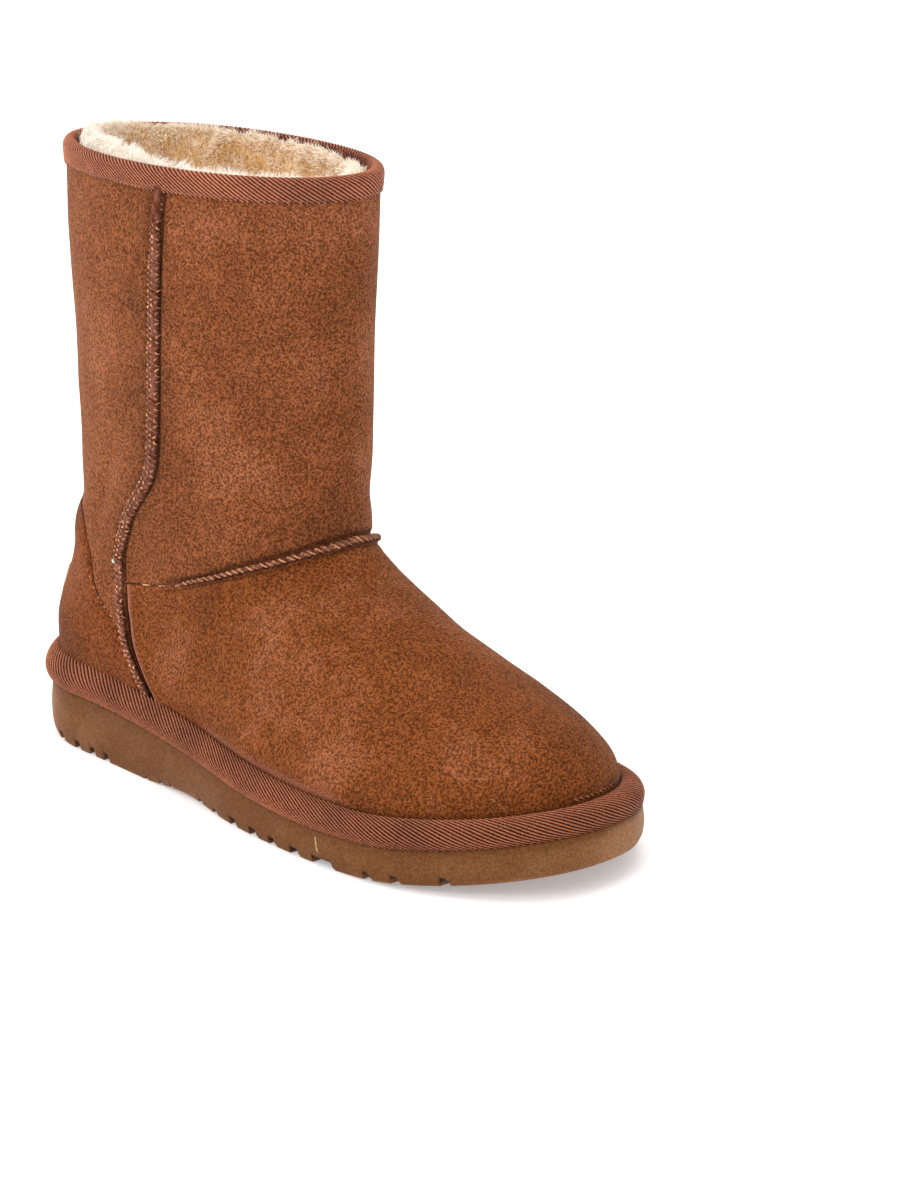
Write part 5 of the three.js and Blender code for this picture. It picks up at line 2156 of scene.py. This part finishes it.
@dataclass(frozen=True)
class SmallStitches:
    """Stitches where the toe's suede meets the tape and at the vamp seam's ends, and a speck of glue."""

    toe_turns: tuple[float, float] = (-60.0, 5.0)
    slit_turns: tuple[float, float] = (83.0, 107.0)
    glue_levels: tuple[float, float] = (7.95, 8.35)
    glue_turn: float = 111.2
    glue_rise: float = 1.4

    def dress(self, thread: Material, glue: Material) -> None:
        """Builds the stitches and the speck of glue beside the outer seam.

        Args:
            thread: The thread.
            glue: The glue.
        """
        turn = np.linspace(*self.toe_turns, 300)
        level = np.full(turn.shape, LAST.binding_level + 0.2)
        surface = Surface()
        row = StitchRow(pitch=2.6, length=1.7, radius=0.28, slant=0.6, light=0.35)
        row.sew(surface, SKIN.at(level, turn, 0.05), LAST.normal(level, turn))
        for side in Side:
            turn = np.linspace(*self.slit_turns, 200)
            level, turn = VAMP_SEAM.read("level", turn), side.value * turn
            row = StitchRow(pitch=8.6, length=4.4, radius=0.36, light=0.6)
            row.sew(surface, SKIN.at(level, turn, -0.12), LAST.normal(level, turn))
        surface.build("upper_stitches", thread)
        level, turn = np.linspace(*self.glue_levels, 40), np.full(40, self.glue_turn)
        surface = Surface()
        drop = StitchRow(pitch=2.0, length=1.7, radius=0.6)
        drop.sew(surface, SKIN.at(level, turn, self.glue_rise), LAST.normal(level, turn))
        surface.build("glue_speck", glue)


# Stage


@dataclass(frozen=True)
class PhotoView:
    """The photograph's camera: place in millimetres in the frame, direction, focus and framing."""

    place: tuple[float, float, float] = (1080.7, -867.2, 473.5)
    heading: tuple[float, float] = (-0.727, 0.687)
    pitch: float = 0.253
    focus: float = 109.4
    rise: float = -0.1287

    def set(self) -> None:
        """Makes the camera and gives it to the scene."""
        data = bpy.data.cameras.new("photo_camera")
        data.lens, data.sensor_width, data.shift_y = self.focus, 36.0, self.rise
        data.clip_start, data.clip_end = 0.05, 50.0
        camera = bpy.data.objects.new("photo_camera", data)
        flat = math.cos(self.pitch)
        look = Vector((self.heading[0] * flat, self.heading[1] * flat, -math.sin(self.pitch)))
        camera.location = Vector(self.place) * MM
        camera.rotation_euler = look.to_track_quat("-Z", "Y").to_euler()
        bpy.context.scene.collection.objects.link(camera)
        bpy.context.scene.camera = camera


@dataclass(frozen=True)
class Studio:
    """Plain pale floor and soft light."""

    floor_half: float = 30.0
    sky: float = 0.8

    def light(self, name: str, place: tuple[float, float, float], size: float, power: float,
              colour: Colour = (1.0, 1.0, 1.0)) -> None:
        """Adds a square soft light that looks at the boot.

        Args:
            name: Name of the light.
            place: Where it is, in metres.
            size: Width of its square.
            power: Its power in watts.
            colour: Its colour.
        """
        data = bpy.data.lights.new(name, "AREA")
        data.size, data.energy, data.color = size, power, colour
        lamp = bpy.data.objects.new(name, data)
        lamp.location = place
        aim = Vector((0.08, 0.0, 0.1)) - Vector(place)
        lamp.rotation_euler = aim.to_track_quat("-Z", "Y").to_euler()
        bpy.context.scene.collection.objects.link(lamp)

    def set(self) -> None:
        """Makes the floor, the sky and the lights."""
        scene = bpy.context.scene
        scene.view_settings.view_transform = "Standard"
        world = bpy.data.worlds.new("studio_sky")
        world.use_nodes = True
        back = world.node_tree.nodes["Background"]
        back.inputs["Color"].default_value = (1.0, 1.0, 1.0, 1.0)
        back.inputs["Strength"].default_value = self.sky
        scene.world = world
        half = self.floor_half
        mesh = bpy.data.meshes.new("studio_floor")
        mesh.from_pydata([(-half, -half, 0), (half, -half, 0), (half, half, 0), (-half, half, 0)], [],
                         [(0, 1, 2, 3)])
        material, _, shader = new_material("pale_floor", Roughness=0.9, Specular_IOR_Level=0.05,
                                           Emission_Strength=0.3)
        shader.inputs["Base Color"].default_value = (0.9, 0.9, 0.91, 1.0)
        shader.inputs["Emission Color"].default_value = (1.0, 1.0, 1.0, 1.0)
        mesh.materials.append(material)
        floor = bpy.data.objects.new("studio_floor", mesh)
        scene.collection.objects.link(floor)
        self.light("key_light", (0.4, -1.9, 1.5), 1.3, 12.0)
        self.light("left_light", (-1.5, -0.9, 1.1), 1.2, 14.0)
        self.light("top_light", (0.1, 0.2, 2.2), 1.4, 18.0)


def main() -> None:
    """Builds the boot piece by piece, then its stage."""
    logging.basicConfig(level=logging.INFO, format="%(name)s %(message)s")
    SuedeUpper().dress()
    HeelCounter().dress()
    seam_suede, thread = SEAM_SUEDE.material(), THREAD.material()
    for seam in SEAMS:
        seam.dress(seam_suede, thread)
    SoleTape().dress(TWILL.material())
    CollarTape().dress(COLLAR_TWILL.material(), thread)
    FleeceLining().dress(FLEECE.material())
    MouldedSole().dress(RUBBER.material())
    HeelLabel().dress(LABEL.material(), LABEL_THREAD.material())
    SmallStitches().dress(thread, GLUE.material())
    PhotoView().set()
    Studio().set()


if __name__ == "__main__":
    main()
